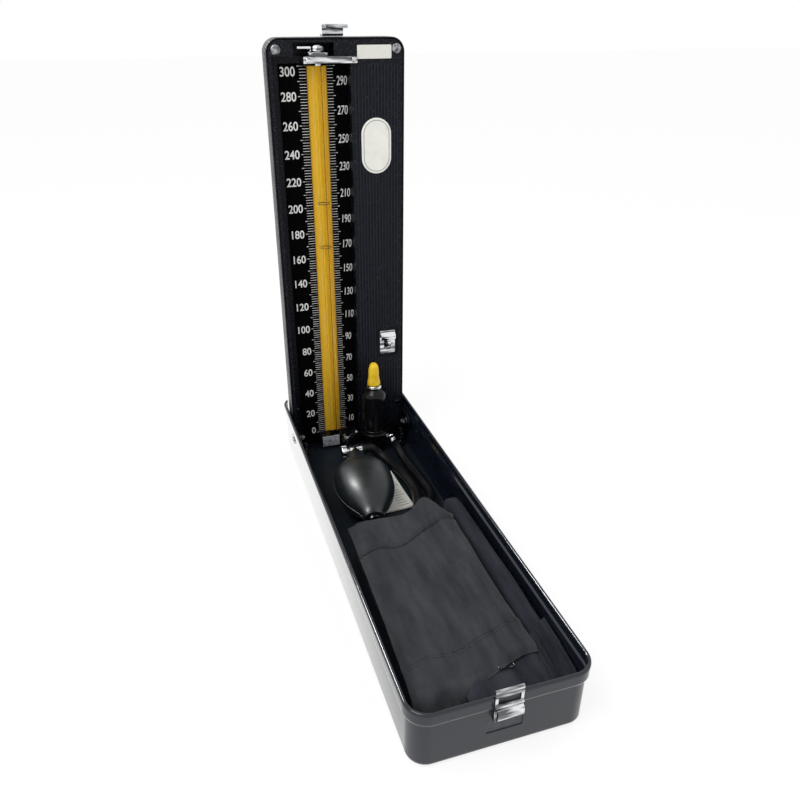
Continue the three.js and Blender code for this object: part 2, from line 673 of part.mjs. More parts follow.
function makeOvalPlate() {
  const round = OVAL.width / 2;
  const straight = OVAL.height / 2 - round;
  const middleX = lidSide - OVAL.fromSide;
  const outline = Array.from({ length: OVAL.sides }, (_, i) => {
    const angle = (2 * Math.PI * i) / OVAL.sides;
    const end = Math.sign(Math.sin(angle)) * straight;
    return [middleX + round * Math.cos(angle), lidTop - OVAL.belowTop + end + round * Math.sin(angle)];
  });
  const back = faceY - rimY - GAP;
  return pileBehindRim([[back, outline], [back - OVAL.sheet, outline]]);
}
piece("oval_plate", makeOvalPlate(), LABEL);
const labelRight = lidSide - LABEL_BOX.fromSide;
const labelTop = lidTop - LABEL_BOX.belowTop;
piece("blank_label", box(
  [labelRight - LABEL_BOX.width, faceY - GAP - LABEL_BOX.sheet, labelTop - LABEL_BOX.height],
  [labelRight, faceY - GAP, labelTop],
), LABEL);

function makeClip() {
  const back = faceY + PANEL_SHEET / 2 - GAP;
  const [left, right] = [clipLeft + 2.4, clipLeft + CLIP.width - 2.4];
  const [foot, top] = [CLIP.foot + 2.4, CLIP.foot + CLIP.height - 3];
  const out = back - 4.6;
  const middle = (left + right) / 2;
  const hoodLine = [[back, top - 0.8], [out, top - 4.6], [out, top - 5.6], [back, top - 2]];
  const tongueLine = [
    [back - 0.4, top - 3],
    [out, top - 5.4],
    [back - 3, foot + 6],
    [back - 2.2, foot + 6],
    [out + 1, top - 6],
  ];
  const plate = box([left, back - 0.8, foot], [right, back, top]);
  const hood = barAlongX(hoodLine, left, right);
  const tongue = barAlongX(tongueLine, middle - 2.4, middle + 2.4);
  return join(plate, hood, tongue);
}
piece("spring_clip", makeClip(), CHROME);

// Catch on the lid's top end: foot, riser, arm and a short lip that faces the lid
const CATCH_X = 0;
const RISER_BEHIND_RIM = 10;
const LIP_BEHIND_RIM = -3;
const LIP_LENGTH = 2.4;

function makeCatch() {
  const foot = lidTop + GAP;
  const top = lidTop + CATCH_RISE;
  const riser = rimY + RISER_BEHIND_RIM;
  const tip = rimY + LIP_BEHIND_RIM;
  const lip = top - LIP_LENGTH;
  const outline = [
    [riser + 8, foot],
    [riser + 8, foot + CATCH_SHEET],
    [riser + CATCH_SHEET, foot + CATCH_SHEET],
    [riser + CATCH_SHEET, top],
    [tip, top],
    [tip, lip],
    [tip + CATCH_SHEET, lip],
    [tip + CATCH_SHEET, top - CATCH_SHEET],
    [riser, top - CATCH_SHEET],
    [riser, foot],
  ];
  return barAlongX(outline, CATCH_X - CATCH_WIDTH / 2, CATCH_X + CATCH_WIDTH / 2);
}
piece("lid_catch", makeCatch(), CHROME);

// Latch on the tray's front: plate with a window, leaf spring and the button that slides down
const plateBack = -trayEnd - GAP;
const plateFront = plateBack - LATCH_SHEET;
const latchHalf = LATCH_WIDTH / 2;
const RIDGE_TOP = 36;
const BUTTON_FOOT = 26.8;
const BUTTON_TOP = 34.2;
const STEM_HALF = 2.6;
const STEM_FOOT = 28.6;
const STEM_TOP = 31.4;

function makeLatchPlate() {
  const across = (half, [y0, z0], [y1, z1]) => box([-half, y0, z0], [half, y1, z1]);
  const wallFace = -trayEnd + PANEL_SUNK - GAP;
  const sheet = across(latchHalf, [plateFront, LATCH_FOOT], [plateBack, LATCH_TOP]);
  const edge = across(latchHalf, [plateFront, LATCH_TOP - LATCH_SHEET], [plateBack + 0.6, LATCH_TOP]);
  const foot = across(latchHalf, [plateFront, LATCH_FOOT], [wallFace, LATCH_FOOT + LATCH_SHEET]);
  const ridge = across(latchHalf, [plateFront - 1.2, RIDGE_TOP - 1.5], [plateFront + 0.1, RIDGE_TOP]);
  const window = across(latchHalf - 2, [plateFront - 2, RIDGE_TOP + 0.4], [plateBack + 1, RIDGE_TOP + 6]);
  const slot = across(STEM_HALF + GAP, [plateFront - 2, BUTTON_FOOT - 0.4], [plateBack + 1, STEM_TOP + 0.4]);
  return cut(join(sheet, edge, foot, ridge), window, slot);
}
piece("latch_plate", makeLatchPlate(), CHROME);

function makeButton() {
  const back = plateFront - GAP;
  const pad = barAlongX([
    [back, BUTTON_FOOT],
    [back - 1.6, BUTTON_FOOT],
    [back - 2.6, BUTTON_FOOT + 1.4],
    [back - 2.6, BUTTON_TOP - 1.4],
    [back - 1.6, BUTTON_TOP],
    [back, BUTTON_TOP],
  ], -latchHalf + 0.3, latchHalf - 0.3);
  const stem = box([-STEM_HALF, back - 1, STEM_FOOT], [STEM_HALF, plateBack + 1.4, STEM_TOP]);
  return join(pad, stem);
}
piece("latch_button", makeButton(), CHROME);

function makeLatchSpring() {
  const [back, front] = [plateBack + 1.4, plateBack + GAP + 0.5];
  const foot = LATCH_FOOT + LATCH_SHEET + GAP;
  const top = STEM_FOOT - GAP;
  const middle = (foot + top) / 2;
  const outside = [[back, foot], [front, middle], [back, top]];
  const inside = [[back - 0.5, top], [front - 0.5, middle], [back - 0.5, foot]];
  return barAlongX([...outside, ...inside], -STEM_HALF, STEM_HALF);
}
piece("latch_spring", makeLatchSpring(), STEEL);

// Bulb lying nearly flat, its wide end to the rear, with the inlet valve in its front neck
const bulbRound = [
  [0, 0], [0.34, 0], [0.34, 0.15], [0.43, 0.19], [0.71, 0.235], [0.9, 0.3], [0.985, 0.38], [1, 0.46],
  [0.98, 0.55], [0.92, 0.64], [0.81, 0.73], [0.66, 0.81], [0.51, 0.875], [0.39, 0.93], [0.34, 1], [0, 1],
];
const bulbX = -wallIn + BULB_FROM_WALL;
const bulbRear = pivotY - BULB_BEFORE_PIVOT;

// From the bulb's own axis, which runs forward from its rear face, to its place in the tray
function inBulbFrame(geometry) {
  geometry.rotateX(Math.PI / 2);
  geometry.scale(1, 1, BULB_FLATNESS);
  geometry.rotateX((-BULB_TILT * Math.PI) / 180);
  geometry.rotateZ((-BULB_TURN * Math.PI) / 180);
  return geometry.translate(bulbX, bulbRear, BULB_REAR_HEIGHT);
}
piece("inflation_bulb",
  inBulbFrame(turned(bulbRound.map(([r, h]) => [r * BULB_RADIUS, h * BULB_LENGTH]), 28)), RUBBER);
piece("bulb_inlet_valve", inBulbFrame(turned([
  [1.2, BULB_LENGTH + GAP],
  [5.2, BULB_LENGTH + GAP],
  [5.2, BULB_LENGTH + 1.6],
  [4.6, BULB_LENGTH + 2.2],
  [1.2, BULB_LENGTH + 2.2],
  [1.2, BULB_LENGTH + GAP],
], 20)), STEEL);

// Valve across the bulb's rear end: release screw to the left, hose ferrule to the right
const VALVE_REACH_LEFT = 2.2;
const VALVE_REACH_RIGHT = 8.5;
const STUB_FROM_AXIS = 2.2;
const SCREW_KNOB_RADIUS = 5;
const SCREW_KNOB_LENGTH = 7;
const FERRULE_LENGTH = 3.4;
const valveLeft = bulbX - VALVE_REACH_LEFT;
const valveRight = bulbX + VALVE_REACH_RIGHT;
const valveY = pivotY - VALVE_BEFORE_PIVOT;
const atValve = (geometry) => geometry.translate(0, valveY, VALVE_HEIGHT);

function makeValveBody() {
  const barrel = atValve(alongX(disc(VALVE_RADIUS, valveLeft, valveRight)));
  const stub = alongY(disc(VALVE_RADIUS - 0.4, bulbRear + GAP + 0.8, valveY, 20));
  return join(barrel, stub.translate(bulbX + STUB_FROM_AXIS, 0, VALVE_HEIGHT));
}
piece("valve_body", makeValveBody(), CHROME);

const knobRight = valveLeft - GAP;
const knobLeft = knobRight - SCREW_KNOB_LENGTH;
piece("release_screw", atValve(alongX(turned([
  [0, knobLeft],
  [SCREW_KNOB_RADIUS - 0.6, knobLeft],
  [SCREW_KNOB_RADIUS, knobLeft + 0.6],
  [SCREW_KNOB_RADIUS, knobRight - 1.9],
  [SCREW_KNOB_RADIUS - 2, knobRight - 1.5],
  [SCREW_KNOB_RADIUS - 2, knobRight],
  [0, knobRight],
]))), CHROME);
const ferruleFrom = valveRight + GAP;
const ferruleTo = ferruleFrom + FERRULE_LENGTH;
piece("valve_ferrule", atValve(alongX(ring(1.5, VALVE_RADIUS + 0.2, ferruleFrom, ferruleTo))), RUBBER);

// Cuff: lower fold, bladder, upper fold and the part rolled along the right wall
function softSlab(x0, y0, x1, y1, z0, z1, corner, edge) {
  const radii = Array(4).fill(corner);
  const at = (inset) => roundedOutline(x0 + inset, y0 + inset, x1 - inset, y1 - inset, radii, 4);
  return piled([
    [z0, at(edge)],
    [z0 + edge * 0.35, at(edge * 0.3)],
    [z0 + edge, at(0)],
    [z1 - edge, at(0)],
    [z1 - edge * 0.35, at(edge * 0.3)],
    [z1, at(edge)],
  ]);
}
const bladderFoot = floorTop + LOWER_FOLD + GAP;
const upperFoot = bladderFoot + BLADDER + GAP;
const foldPlan = [cuffLeft, cuffFront, cuffRight, cuffRear];
const bladderPlan = [cuffLeft + 6, cuffFront + 14, cuffRight, cuffRear];
const rollPlan = [rollLeft, cuffFront - 2, rollRight, cuffRear + ROLL_BEHIND_CUFF];
piece("cuff_lower_fold", softSlab(...foldPlan, floorTop, floorTop + LOWER_FOLD, 6, 2.6), CLOTH);
piece("cuff_bladder", softSlab(...bladderPlan, bladderFoot, bladderFoot + BLADDER, 6, 1.4), RUBBER);
piece("cuff_upper_fold", softSlab(...foldPlan, upperFoot, upperFoot + UPPER_FOLD, 7, 4), CLOTH);
piece("cuff_roll", softSlab(...rollPlan, floorTop, floorTop + ROLL_HEIGHT, 4.5, 4.5), CLOTH);

// Wire loop at the cuff's front end
const LOOP = { x: 11, fromFront: 8, width: 10, depth: 6, wire: 1.2 };
function makeLoop() {
  const foot = upperFoot + UPPER_FOLD + GAP;
  const frame = (inset, from, to) => {
    const [dx, dy] = [LOOP.width / 2 - inset, LOOP.depth / 2 - inset];
    const y = cuffFront + LOOP.fromFront;
    return box([LOOP.x - dx, y - dy, from], [LOOP.x + dx, y + dy, to]);
  };
  return cut(frame(0, foot, foot + LOOP.wire), frame(LOOP.wire, foot - 1, foot + LOOP.wire + 1));
}
piece("cuff_loop", makeLoop(), CHROME);

// Connectors on the bladder's rear edge, and the two hoses
const GAUGE_CONNECTOR_FROM_EDGE = 2.9;
const CONNECTOR_SPACING = 8.3;
const gaugeConnectorX = cuffRight - GAUGE_CONNECTOR_FROM_EDGE;
const bulbConnectorX = gaugeConnectorX - CONNECTOR_SPACING;
const connectorZ = bladderFoot + BLADDER / 2;
const connectorRear = cuffRear + GAP + CONNECTOR_LENGTH;
const connectors = [["gauge_connector", gaugeConnectorX], ["bulb_connector", bulbConnectorX]];
for (const [name, x] of connectors) {
  const connector = alongY(disc(CONNECTOR_RADIUS, cuffRear + GAP, connectorRear, 16));
  piece(name, connector.translate(x, 0, connectorZ), CHROME);
}
const hoseEnd = connectorRear + GAP;

const gaugeRoute = [
  [nippleX, nippleFront - GAP, NIPPLE_Z],
  [nippleX, nippleFront - 6, NIPPLE_Z],
  [35.6, 96, 8.2],
  [39.2, 70, 6.4],
  [39.6, 44, 7.6],
  [gaugeConnectorX, hoseEnd + 7, connectorZ],
  [gaugeConnectorX, hoseEnd, connectorZ],
];
const bulbRoute = [
  [ferruleTo + GAP, valveY, VALVE_HEIGHT],
  [ferruleTo + GAP + 4, valveY, VALVE_HEIGHT],
  [17.4, 108, 9],
  [22.8, 99, 6.5],
  [27.8, 78, 6.5],
  [29.4, 52, 7],
  [bulbConnectorX, hoseEnd + 7, connectorZ],
  [bulbConnectorX, hoseEnd, connectorZ],
];
piece("gauge_hose", tubeAlong(gaugeRoute, HOSE_RADIUS, 10, 22), RUBBER);
piece("bulb_hose", tubeAlong(bulbRoute, HOSE_RADIUS, 10, 26), RUBBER);

// Folded paper leaflet on the tray floor beside the bulb
const LEAFLET = { fromWall: 60, beforePivot: 66.3, width: 26, length: 52, sheet: 0.8, turn: 3.4 };
const leaf = new THREE.BoxGeometry(LEAFLET.width, LEAFLET.length, LEAFLET.sheet);
leaf.rotateZ((LEAFLET.turn * Math.PI) / 180);
leaf.translate(-wallIn + LEAFLET.fromWall, pivotY - LEAFLET.beforePivot, floorTop + LEAFLET.sheet / 2);
piece("leaflet", leaf, LABEL);

export default root;
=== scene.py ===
# %% [markdown]
# # A desk blood pressure gauge with its lid stood open
#
# The object is a long black steel tray with a narrow lid that stands up on two side pivots. The lid
# carries a glass tube in front of an amber strip, a black scale with white numbers and a small mercury
# reservoir. The tray holds the arm cuff, the rubber bulb and two hoses. The CAD part is loaded as a
# fixed frame, and this lesson dresses it: each piece is made again with finer edges, softer cloth and
# a finish of its own, in the place that the CAD gives it.

import math

import bmesh
import bpy
from mathutils import Matrix, Vector, noise
from mathutils.bvhtree import BVHTree


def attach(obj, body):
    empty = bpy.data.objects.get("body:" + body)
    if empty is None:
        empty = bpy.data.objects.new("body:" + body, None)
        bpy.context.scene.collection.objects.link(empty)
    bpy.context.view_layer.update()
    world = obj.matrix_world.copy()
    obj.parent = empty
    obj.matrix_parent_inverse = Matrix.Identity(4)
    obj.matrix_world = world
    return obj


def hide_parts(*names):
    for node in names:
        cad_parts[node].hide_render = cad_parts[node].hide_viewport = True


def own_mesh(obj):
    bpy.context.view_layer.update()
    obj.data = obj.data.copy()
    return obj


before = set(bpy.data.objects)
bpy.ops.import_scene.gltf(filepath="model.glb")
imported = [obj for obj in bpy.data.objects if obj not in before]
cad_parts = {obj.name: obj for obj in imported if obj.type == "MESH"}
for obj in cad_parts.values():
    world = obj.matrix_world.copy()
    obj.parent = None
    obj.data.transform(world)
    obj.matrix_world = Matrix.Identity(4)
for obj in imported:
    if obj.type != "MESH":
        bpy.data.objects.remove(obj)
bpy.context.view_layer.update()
scene = bpy.context.scene
MM = 0.001

# %% [markdown]
# ## Camera
#
# The camera was found by matching known corners of the part to the photograph: it stands in front and
# to the left, a little higher than the lid, and looks down at the tray. The lens is given in image
# widths, so it holds for the square frame of 800 pixels.

# %% Camera
FRAME_PIXELS = 800
CAMERA_AT = (-0.1335, -0.4026, 0.3462)
YAW, PITCH, ROLL = 18.02, 28.39, 0.12
FOCAL_PIXELS = 735.7
MIDDLE_PIXEL = (397.3, 403.8)


def turn(degrees, axis):
    return Matrix.Rotation(math.radians(degrees), 4, axis)


def placed(name, data):
    """A new object in the scene."""
    obj = bpy.data.objects.new(name, data)
    scene.collection.objects.link(obj)
    return obj


lens = bpy.data.cameras.new("camera")
lens.sensor_width, lens.clip_start = 36, 0.01
lens.lens = FOCAL_PIXELS / FRAME_PIXELS * lens.sensor_width
lens.shift_x = (FRAME_PIXELS / 2 - MIDDLE_PIXEL[0]) / FRAME_PIXELS
lens.shift_y = (MIDDLE_PIXEL[1] - FRAME_PIXELS / 2) / FRAME_PIXELS
scene.camera = placed("camera", lens)
scene.camera.matrix_world = (Matrix.Translation(CAMERA_AT)
                             @ (turn(-YAW, "Z") @ turn(90 - PITCH, "X") @ turn(ROLL, "Z")))
print("lens", round(lens.lens, 2), "mm, shift", round(lens.shift_x, 4), round(lens.shift_y, 4))

# %% [markdown]
# ## Finishes
#
# A finish is a Principled shader with noise in its roughness, colour and bump. `grain` makes a noise
# in object space, and `uneven`, `mottled` and `relief` lay it into the roughness, the colour and the
# bump. `finish` takes them all in one call. A grain is written as its width in millimetres, its detail
# and its stretch. `add` and `wire` serve every kind of node tree, the room's and the copying ones too.

# %% Building blocks of a finish


def add(owner, kind, **values):
    """A new node. A value goes to the input of that name, or else to the node's own setting."""
    node = getattr(owner, "node_tree", owner).nodes.new(kind)
    for key, value in values.items():
        label = key.replace("_", " ")
        if label in node.inputs:
            node.inputs[label].default_value = value
        else:
            setattr(node, key, value)
    return node


def wire(owner, *pairs):
    """Links each output to its input."""
    for out, into in pairs:
        getattr(owner, "node_tree", owner).links.new(out, into)


def shader_of(look):
    return look.node_tree.nodes["Principled BSDF"]


def grain(look, width, detail=2, stretch=(1, 1, 1), kind="Noise"):
    """A pattern whose grains are about width millimetres across, in object space."""
    where = add(look, "ShaderNodeTexCoord")
    place = add(look, "ShaderNodeMapping", Scale=[1 / s for s in stretch])
    pattern = add(look, "ShaderNodeTex" + kind, Scale=1 / (width * MM), Detail=detail)
    wire(look, (where.outputs["Object"], place.inputs["Vector"]),
         (place.outputs["Vector"], pattern.inputs["Vector"]))
    return pattern.outputs[0]


def pattern_of(look, given):
    """A new grain from its numbers, or a pattern that is there already."""
    return grain(look, *given) if isinstance(given, tuple) else given


print("helpers: add, wire, grain")

# %% Roughness, colour and bump


def uneven(look, pattern, low, high):
    """The pattern moves the roughness between low and high."""
    spread = add(look, "ShaderNodeMapRange", From_Min=0.3, From_Max=0.7, To_Min=low, To_Max=high)
    wire(look, (pattern_of(look, pattern), spread.inputs["Value"]),
         (spread.outputs["Result"], shader_of(look).inputs["Roughness"]))


def mottled(look, pattern, dark, light, edges=(0.3, 0.7)):
    """The pattern moves the colour between dark and light."""
    ramp = add(look, "ShaderNodeValToRGB")
    for stop, edge, colour in zip(ramp.color_ramp.elements, edges, (dark, light)):
        stop.position, stop.color = edge, (*colour, 1)
    wire(look, (pattern_of(look, pattern), ramp.inputs["Fac"]),
         (ramp.outputs["Color"], shader_of(look).inputs["Base Color"]))
    return ramp


def relief(look, *bumps):
    """Bumps of (pattern, strength, depth in millimetres), each on top of the one before."""
    before = None
    for pattern, strength, depth in bumps:
        bump = add(look, "ShaderNodeBump", Strength=strength, Distance=depth * MM)
        wire(look, (pattern_of(look, pattern), bump.inputs["Height"]),
             (bump.outputs["Normal"], shader_of(look).inputs["Normal"]))
        if before:
            wire(look, (before.outputs["Normal"], bump.inputs["Normal"]))
        before = bump


def finish(name, colour, roughness, metal=0, spec=0.5, rough=None, mottle=None, bumps=(), **sockets):
    """A material. rough, mottle and bumps are what uneven, mottled and relief take."""
    look = bpy.data.materials.new(name)
    look.use_nodes = True
    look.diffuse_color = (*colour, 1)
    sockets.update(Base_Color=(*colour, 1), Roughness=roughness, Metallic=metal, Specular_IOR_Level=spec)
    for socket, value in sockets.items():
        shader_of(look).inputs[socket.replace("_", " ")].default_value = value
    if rough:
        uneven(look, *rough)
    if mottle:
        mottled(look, *mottle)
    relief(look, *bumps)
    return look


def mix_in(look, share, shader):
    """Mixes another shader into the finish, by its share."""
    mixed = add(look, "ShaderNodeMixShader")
    wire(look, (share, mixed.inputs["Fac"]), (shader_of(look).outputs["BSDF"], mixed.inputs[1]),
         (shader, mixed.inputs[2]),
         (mixed.outputs["Shader"], look.node_tree.nodes["Material Output"].inputs["Surface"]))


print("helpers: uneven, mottled, relief, finish, mix_in")

# %% [markdown]
# ## Light and floor
#
# Black enamel shows nothing but what it mirrors, so one card is seen in gloss alone: it stands high
# behind on the left and draws the long highlight on the bulb. Another, from above, lights the matt
# colours together with an even room. The floor and the room are plain white to the camera, to gloss
# and to glass, and the floor keeps a faint shadow.

# %% Light and floor
WORLD_FILL, FLOOR_REACH = 0.78, 6
scene.view_settings.view_transform = "Standard"


def soft_card(name, at, aim, width, height, watts, gloss_only=False):
    lamp = bpy.data.lights.new(name, "AREA")
    lamp.shape, lamp.size, lamp.size_y, lamp.energy = "RECTANGLE", width, height, watts
    card = placed(name, lamp)
    card.location = at
    card.rotation_euler = (Vector(aim) - Vector(at)).to_track_quat("-Z", "Y").to_euler()
    card.visible_diffuse, card.visible_camera = not gloss_only, False


def seen_directly(owner):
    """1 for rays that show a surface as it is: to the camera, in gloss and through glass."""
    path = add(owner, "ShaderNodeLightPath")
    total = path.outputs["Is Camera Ray"]
    for ray in ("Is Glossy Ray", "Is Transmission Ray"):
        larger = add(owner, "ShaderNodeMath", operation="MAXIMUM")
        wire(owner, (total, larger.inputs[0]), (path.outputs[ray], larger.inputs[1]))
        total = larger.outputs[0]
    return total


soft_card("card_left", (-0.42, 0.56, 0.74), (-0.02, 0.04, 0.03), 0.15, 0.32, 8.5, gloss_only=True)
soft_card("card_above", (-0.55, -0.25, 1.10), (0, 0, 0.05), 0.60, 0.60, 5.5)

room = scene.world = bpy.data.worlds.new("white_room")
room.use_nodes = True
strength = add(room, "ShaderNodeMapRange", To_Min=WORLD_FILL, To_Max=1)
background = room.node_tree.nodes["Background"].inputs
background["Color"].default_value = (1, 1, 1, 1)
wire(room, (seen_directly(room), strength.inputs["Value"]), (strength.outputs["Result"], background["Strength"]))

floor_look = finish("pale_floor", (0.9, 0.9, 0.9), 0.9, spec=0)
glow = add(floor_look, "ShaderNodeEmission", Strength=1.08)
share = add(floor_look, "ShaderNodeMath", operation="MULTIPLY")
share.inputs[1].default_value = 0.74
wire(floor_look, (seen_directly(floor_look), share.inputs[0]))
mix_in(floor_look, share.outputs[0], glow.outputs["Emission"])

floor_mesh = bpy.data.meshes.new("floor")
corners = [(x * FLOOR_REACH, y * FLOOR_REACH, -0.0002) for x, y in ((-1, -1), (1, -1), (1, 1), (-1, 1))]
floor_mesh.from_pydata(corners, [], [(0, 1, 2, 3)])
floor_mesh.materials.append(floor_look)
floor = placed("floor", floor_mesh)
print("two soft cards, world fill", WORLD_FILL)

# %% [markdown]
# ## Making shapes
#
# Most pieces are turned, lofted or swept, so four small helpers make nearly everything: an outline
# with rounded corners, a loft through a pile of outlines, a profile turned about an axis, and a
# section carried along a path. Sizes are in millimetres here, as on the CAD drawing, and become
# metres only when the mesh is made.

# %% Shapes


def shade(mesh, angle=34):
    """Merges doubles, turns faces outwards and smooths all edges but those bent more than angle."""
    bm = bmesh.new()
    bm.from_mesh(mesh)
    bmesh.ops.remove_doubles(bm, verts=bm.verts, dist=1e-6)
    bmesh.ops.dissolve_degenerate(bm, dist=1e-7, edges=bm.edges)
    bmesh.ops.recalc_face_normals(bm, faces=bm.faces)
    for face in bm.faces:
        face.smooth = True
    for edge in bm.edges:
        edge.smooth = len(edge.link_faces) == 2 and edge.calc_face_angle(0) < math.radians(angle)
    bm.to_mesh(mesh)
    bm.free()


def shape(name, made, angle=34):
    """A new object from (points in millimetres, faces)."""
    points, faces = made
    mesh = bpy.data.meshes.new(name)
    mesh.from_pydata([Vector(p) * MM for p in points], [], faces)
    shade(mesh, angle)
    return placed(name, mesh)


def rounded(x0, y0, x1, y1, radii, steps=10):
    """Outline of a rectangle with rounded corners, counter-clockwise from the lower left."""
    radii = [radii] * 4 if isinstance(radii, (int, float)) else radii
    corners = ((x0, y0, 1, 1), (x1, y0, -1, 1), (x1, y1, -1, -1), (x0, y1, 1, -1))
    outline = []
    for k, (x, y, sx, sy) in enumerate(corners):
        for i in range(steps + 1):
            angle = math.pi * (1 + k / 2 + i / steps / 2)
            r = max(radii[k], 0.01)
            outline.append((x + sx * r + r * math.cos(angle), y + sy * r + r * math.sin(angle)))
    return outline


def loft(rings, capped=True):
    """Skin through rings of as many 3-D points each."""
    count = len(rings[0])
    points = [p for ring in rings for p in ring]
    faces = []
    for level in range(len(rings) - 1):
        for i in range(count):
            a, b = level * count + i, level * count + (i + 1) % count
            faces.append((a, b, b + count, a + count))
    if capped:
        last = (len(rings) - 1) * count
        faces.append(tuple(reversed(range(count))))
        faces.append(tuple(range(last, last + count)))
    return points, faces


def axis_point(axis, radius, angle, height):
    c, s = radius * math.cos(angle), radius * math.sin(angle)
    return {"Z": (c, s, height), "X": (height, c, s), "Y": (s, height, c)}[axis]


def turned(profile, axis="Z", at=(0, 0, 0), sides=48):
    """(radius, height) pairs turned about an axis. A profile that ends where it starts is a ring."""
    ring = profile[0] == profile[-1]
    rings = []
    for radius, height in profile:
        around = [axis_point(axis, radius, 2 * math.pi * i / sides, height) for i in range(sides)]
        rings.append([tuple(p[k] + at[k] for k in range(3)) for p in around])
    return loft(rings, capped=not ring)


print("helpers: shape, rounded, loft, turned")

# %% Lines and sections


def between(a, b, start, end, x):
    """On the line that is at a when x is start and at b when x is end."""
    return a * ((end - x) / (end - start)) + b * ((x - start) / (end - start))


def rod(radius, low, high, axis, at, sides):
    return turned([(0, low), (radius, low), (radius, high), (0, high)], axis, at, sides)


def smooth_line(points, count, tension=0.5, steps=24):
    """Points evenly along a centripetal curve through the given ones."""
    pts = [Vector(p) for p in points]
    ends = [pts[0] * 2 - pts[1], *pts, pts[-1] * 2 - pts[-2]]
    fine = []
    for i in range(1, len(ends) - 2):
        p = ends[i - 1:i + 3]
        t = [0]
        for a, b in zip(p, p[1:]):
            t.append(t[-1] + max((b - a).length, 1e-9) ** tension)
        for k in range(steps):
            x = t[1] + (t[2] - t[1]) * k / steps
            a = [between(p[j], p[j + 1], t[j], t[j + 1], x) for j in range(3)]
            b = [between(a[j], a[j + 1], t[j], t[j + 2], x) for j in range(2)]
            fine.append(between(*b, t[1], t[2], x))
    fine.append(pts[-1])
    far = [0]
    for a, b in zip(fine, fine[1:]):
        far.append(far[-1] + (b - a).length)
    out, k = [], 0
    for i in range(count):
        want = far[-1] * i / (count - 1)
        while k < len(far) - 2 and far[k + 1] < want:
            k += 1
        span = max(far[k + 1] - far[k], 1e-12)
        out.append(fine[k].lerp(fine[k + 1], (want - far[k]) / span))
    return out


def swept(path, sections, side=(1, 0, 0), capped=True):
    """A section of (a, b) offsets carried along a path, or one section for each point of it."""
    path = [Vector(p) for p in path]
    one = not isinstance(sections[0][0], (list, tuple))
    side = Vector(side)
    rings = []
    for i, p in enumerate(path):
        along = (path[min(i + 1, len(path) - 1)] - path[max(i - 1, 0)]).normalized()
        side = (side - along * side.dot(along)).normalized()
        up = along.cross(side)
        section = sections if one else sections[i]
        rings.append([tuple(p + side * a + up * b) for a, b in section])
    return loft(rings, capped)


def circle(radius, sides=20, flat=1):
    return [(radius * math.cos(2 * math.pi * i / sides), flat * radius * math.sin(2 * math.pi * i / sides))
            for i in range(sides)]


def block(lo, hi):
    """A box between two corners, as (points, faces)."""
    outline = [(lo[0], lo[1]), (hi[0], lo[1]), (hi[0], hi[1]), (lo[0], hi[1])]
    return loft([[(x, y, z) for x, y in outline] for z in (lo[2], hi[2])])


def slab_y(outline, y0, y1):
    """An (x, z) outline given a thickness along Y."""
    return loft([[(x, y, z) for x, z in outline] for y in (y1, y0)])


def slab_x(outline, x0, x1):
    """A (y, z) outline given a thickness along X."""
    return loft([[(x, y, z) for y, z in outline] for x in (x0, x1)])


print("helpers: smooth_line, swept, circle, block, slab_y, slab_x")

# %% [markdown]
# ## Finishing a shape
#
# Pressed sheet and cast parts have no knife edges, and it is the small round along an edge that
# catches the light.

# %% Cutting, rounding and riding


def settle(obj, angle=34):
    """Replaces the object's mesh by what its modifiers make of it. Angle 0 keeps the normals."""
    graph = bpy.context.evaluated_depsgraph_get()
    graph.update()
    mesh = bpy.data.meshes.new_from_object(obj.evaluated_get(graph))
    obj.modifiers.clear()
    old, obj.data = obj.data, mesh
    bpy.data.meshes.remove(old)
    if angle:
        shade(mesh, angle)
    return obj


def combine(obj, operation, *made):
    """Cuts or joins (points, faces) shapes into obj."""
    tools = [shape("tool", m) for m in made]
    for tool in tools:
        step = obj.modifiers.new("step", "BOOLEAN")
        step.operation, step.object, step.solver = operation, tool, "EXACT"
    settle(obj)
    for tool in tools:
        bpy.data.objects.remove(tool)
    return obj


def round_edges(obj, width, segments=2, angle=40):
    """Bevels the sharp edges, and lets the large faces set the normals, so that flats look flat."""
    edge = obj.modifiers.new("round", "BEVEL")
    edge.width, edge.segments, edge.limit_method = width * MM, segments, "ANGLE"
    edge.angle_limit = math.radians(angle)
    settle(obj, 46)
    even = obj.modifiers.new("even", "WEIGHTED_NORMAL")
    even.keep_sharp = True
    return settle(obj, 0)


def move(obj, x, y, z):
    """Moves a piece's mesh by so many millimetres."""
    obj.data.transform(Matrix.Translation(Vector((x, y, z)) * MM))
    return obj


def bar(name, lo, hi, edge):
    """A box between two corners, its edges rounded."""
    return round_edges(shape(name, block(lo, hi)), edge)


def gather(name, *parts):
    """One object from several."""
    bm = bmesh.new()
    for part in parts:
        bm.from_mesh(part.data)
    mesh = bpy.data.meshes.new(name)
    bm.to_mesh(mesh)
    bm.free()
    for part in parts:
        bpy.data.objects.remove(part)
    return placed(name, mesh)


def dress(obj, look, body, slot, *nodes):
    """Gives a finished piece its material, its body and the CAD nodes that it stands for, which it hides. The slot is
    not used.
    """
    obj.data.materials.clear()
    obj.data.materials.append(look)
    for face in obj.data.polygons:
        face.material_index = 0
    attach(obj, body)
    if nodes:
        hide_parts(*nodes)
    return obj


def keep(node, look):
    """A CAD node that stays, with a better material."""
    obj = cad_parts[node]
    if obj.material_slots:
        for place in obj.material_slots:
            place.material = look
    else:
        obj.data.materials.append(look)


print("helpers: combine, round_edges, gather, dress, keep")
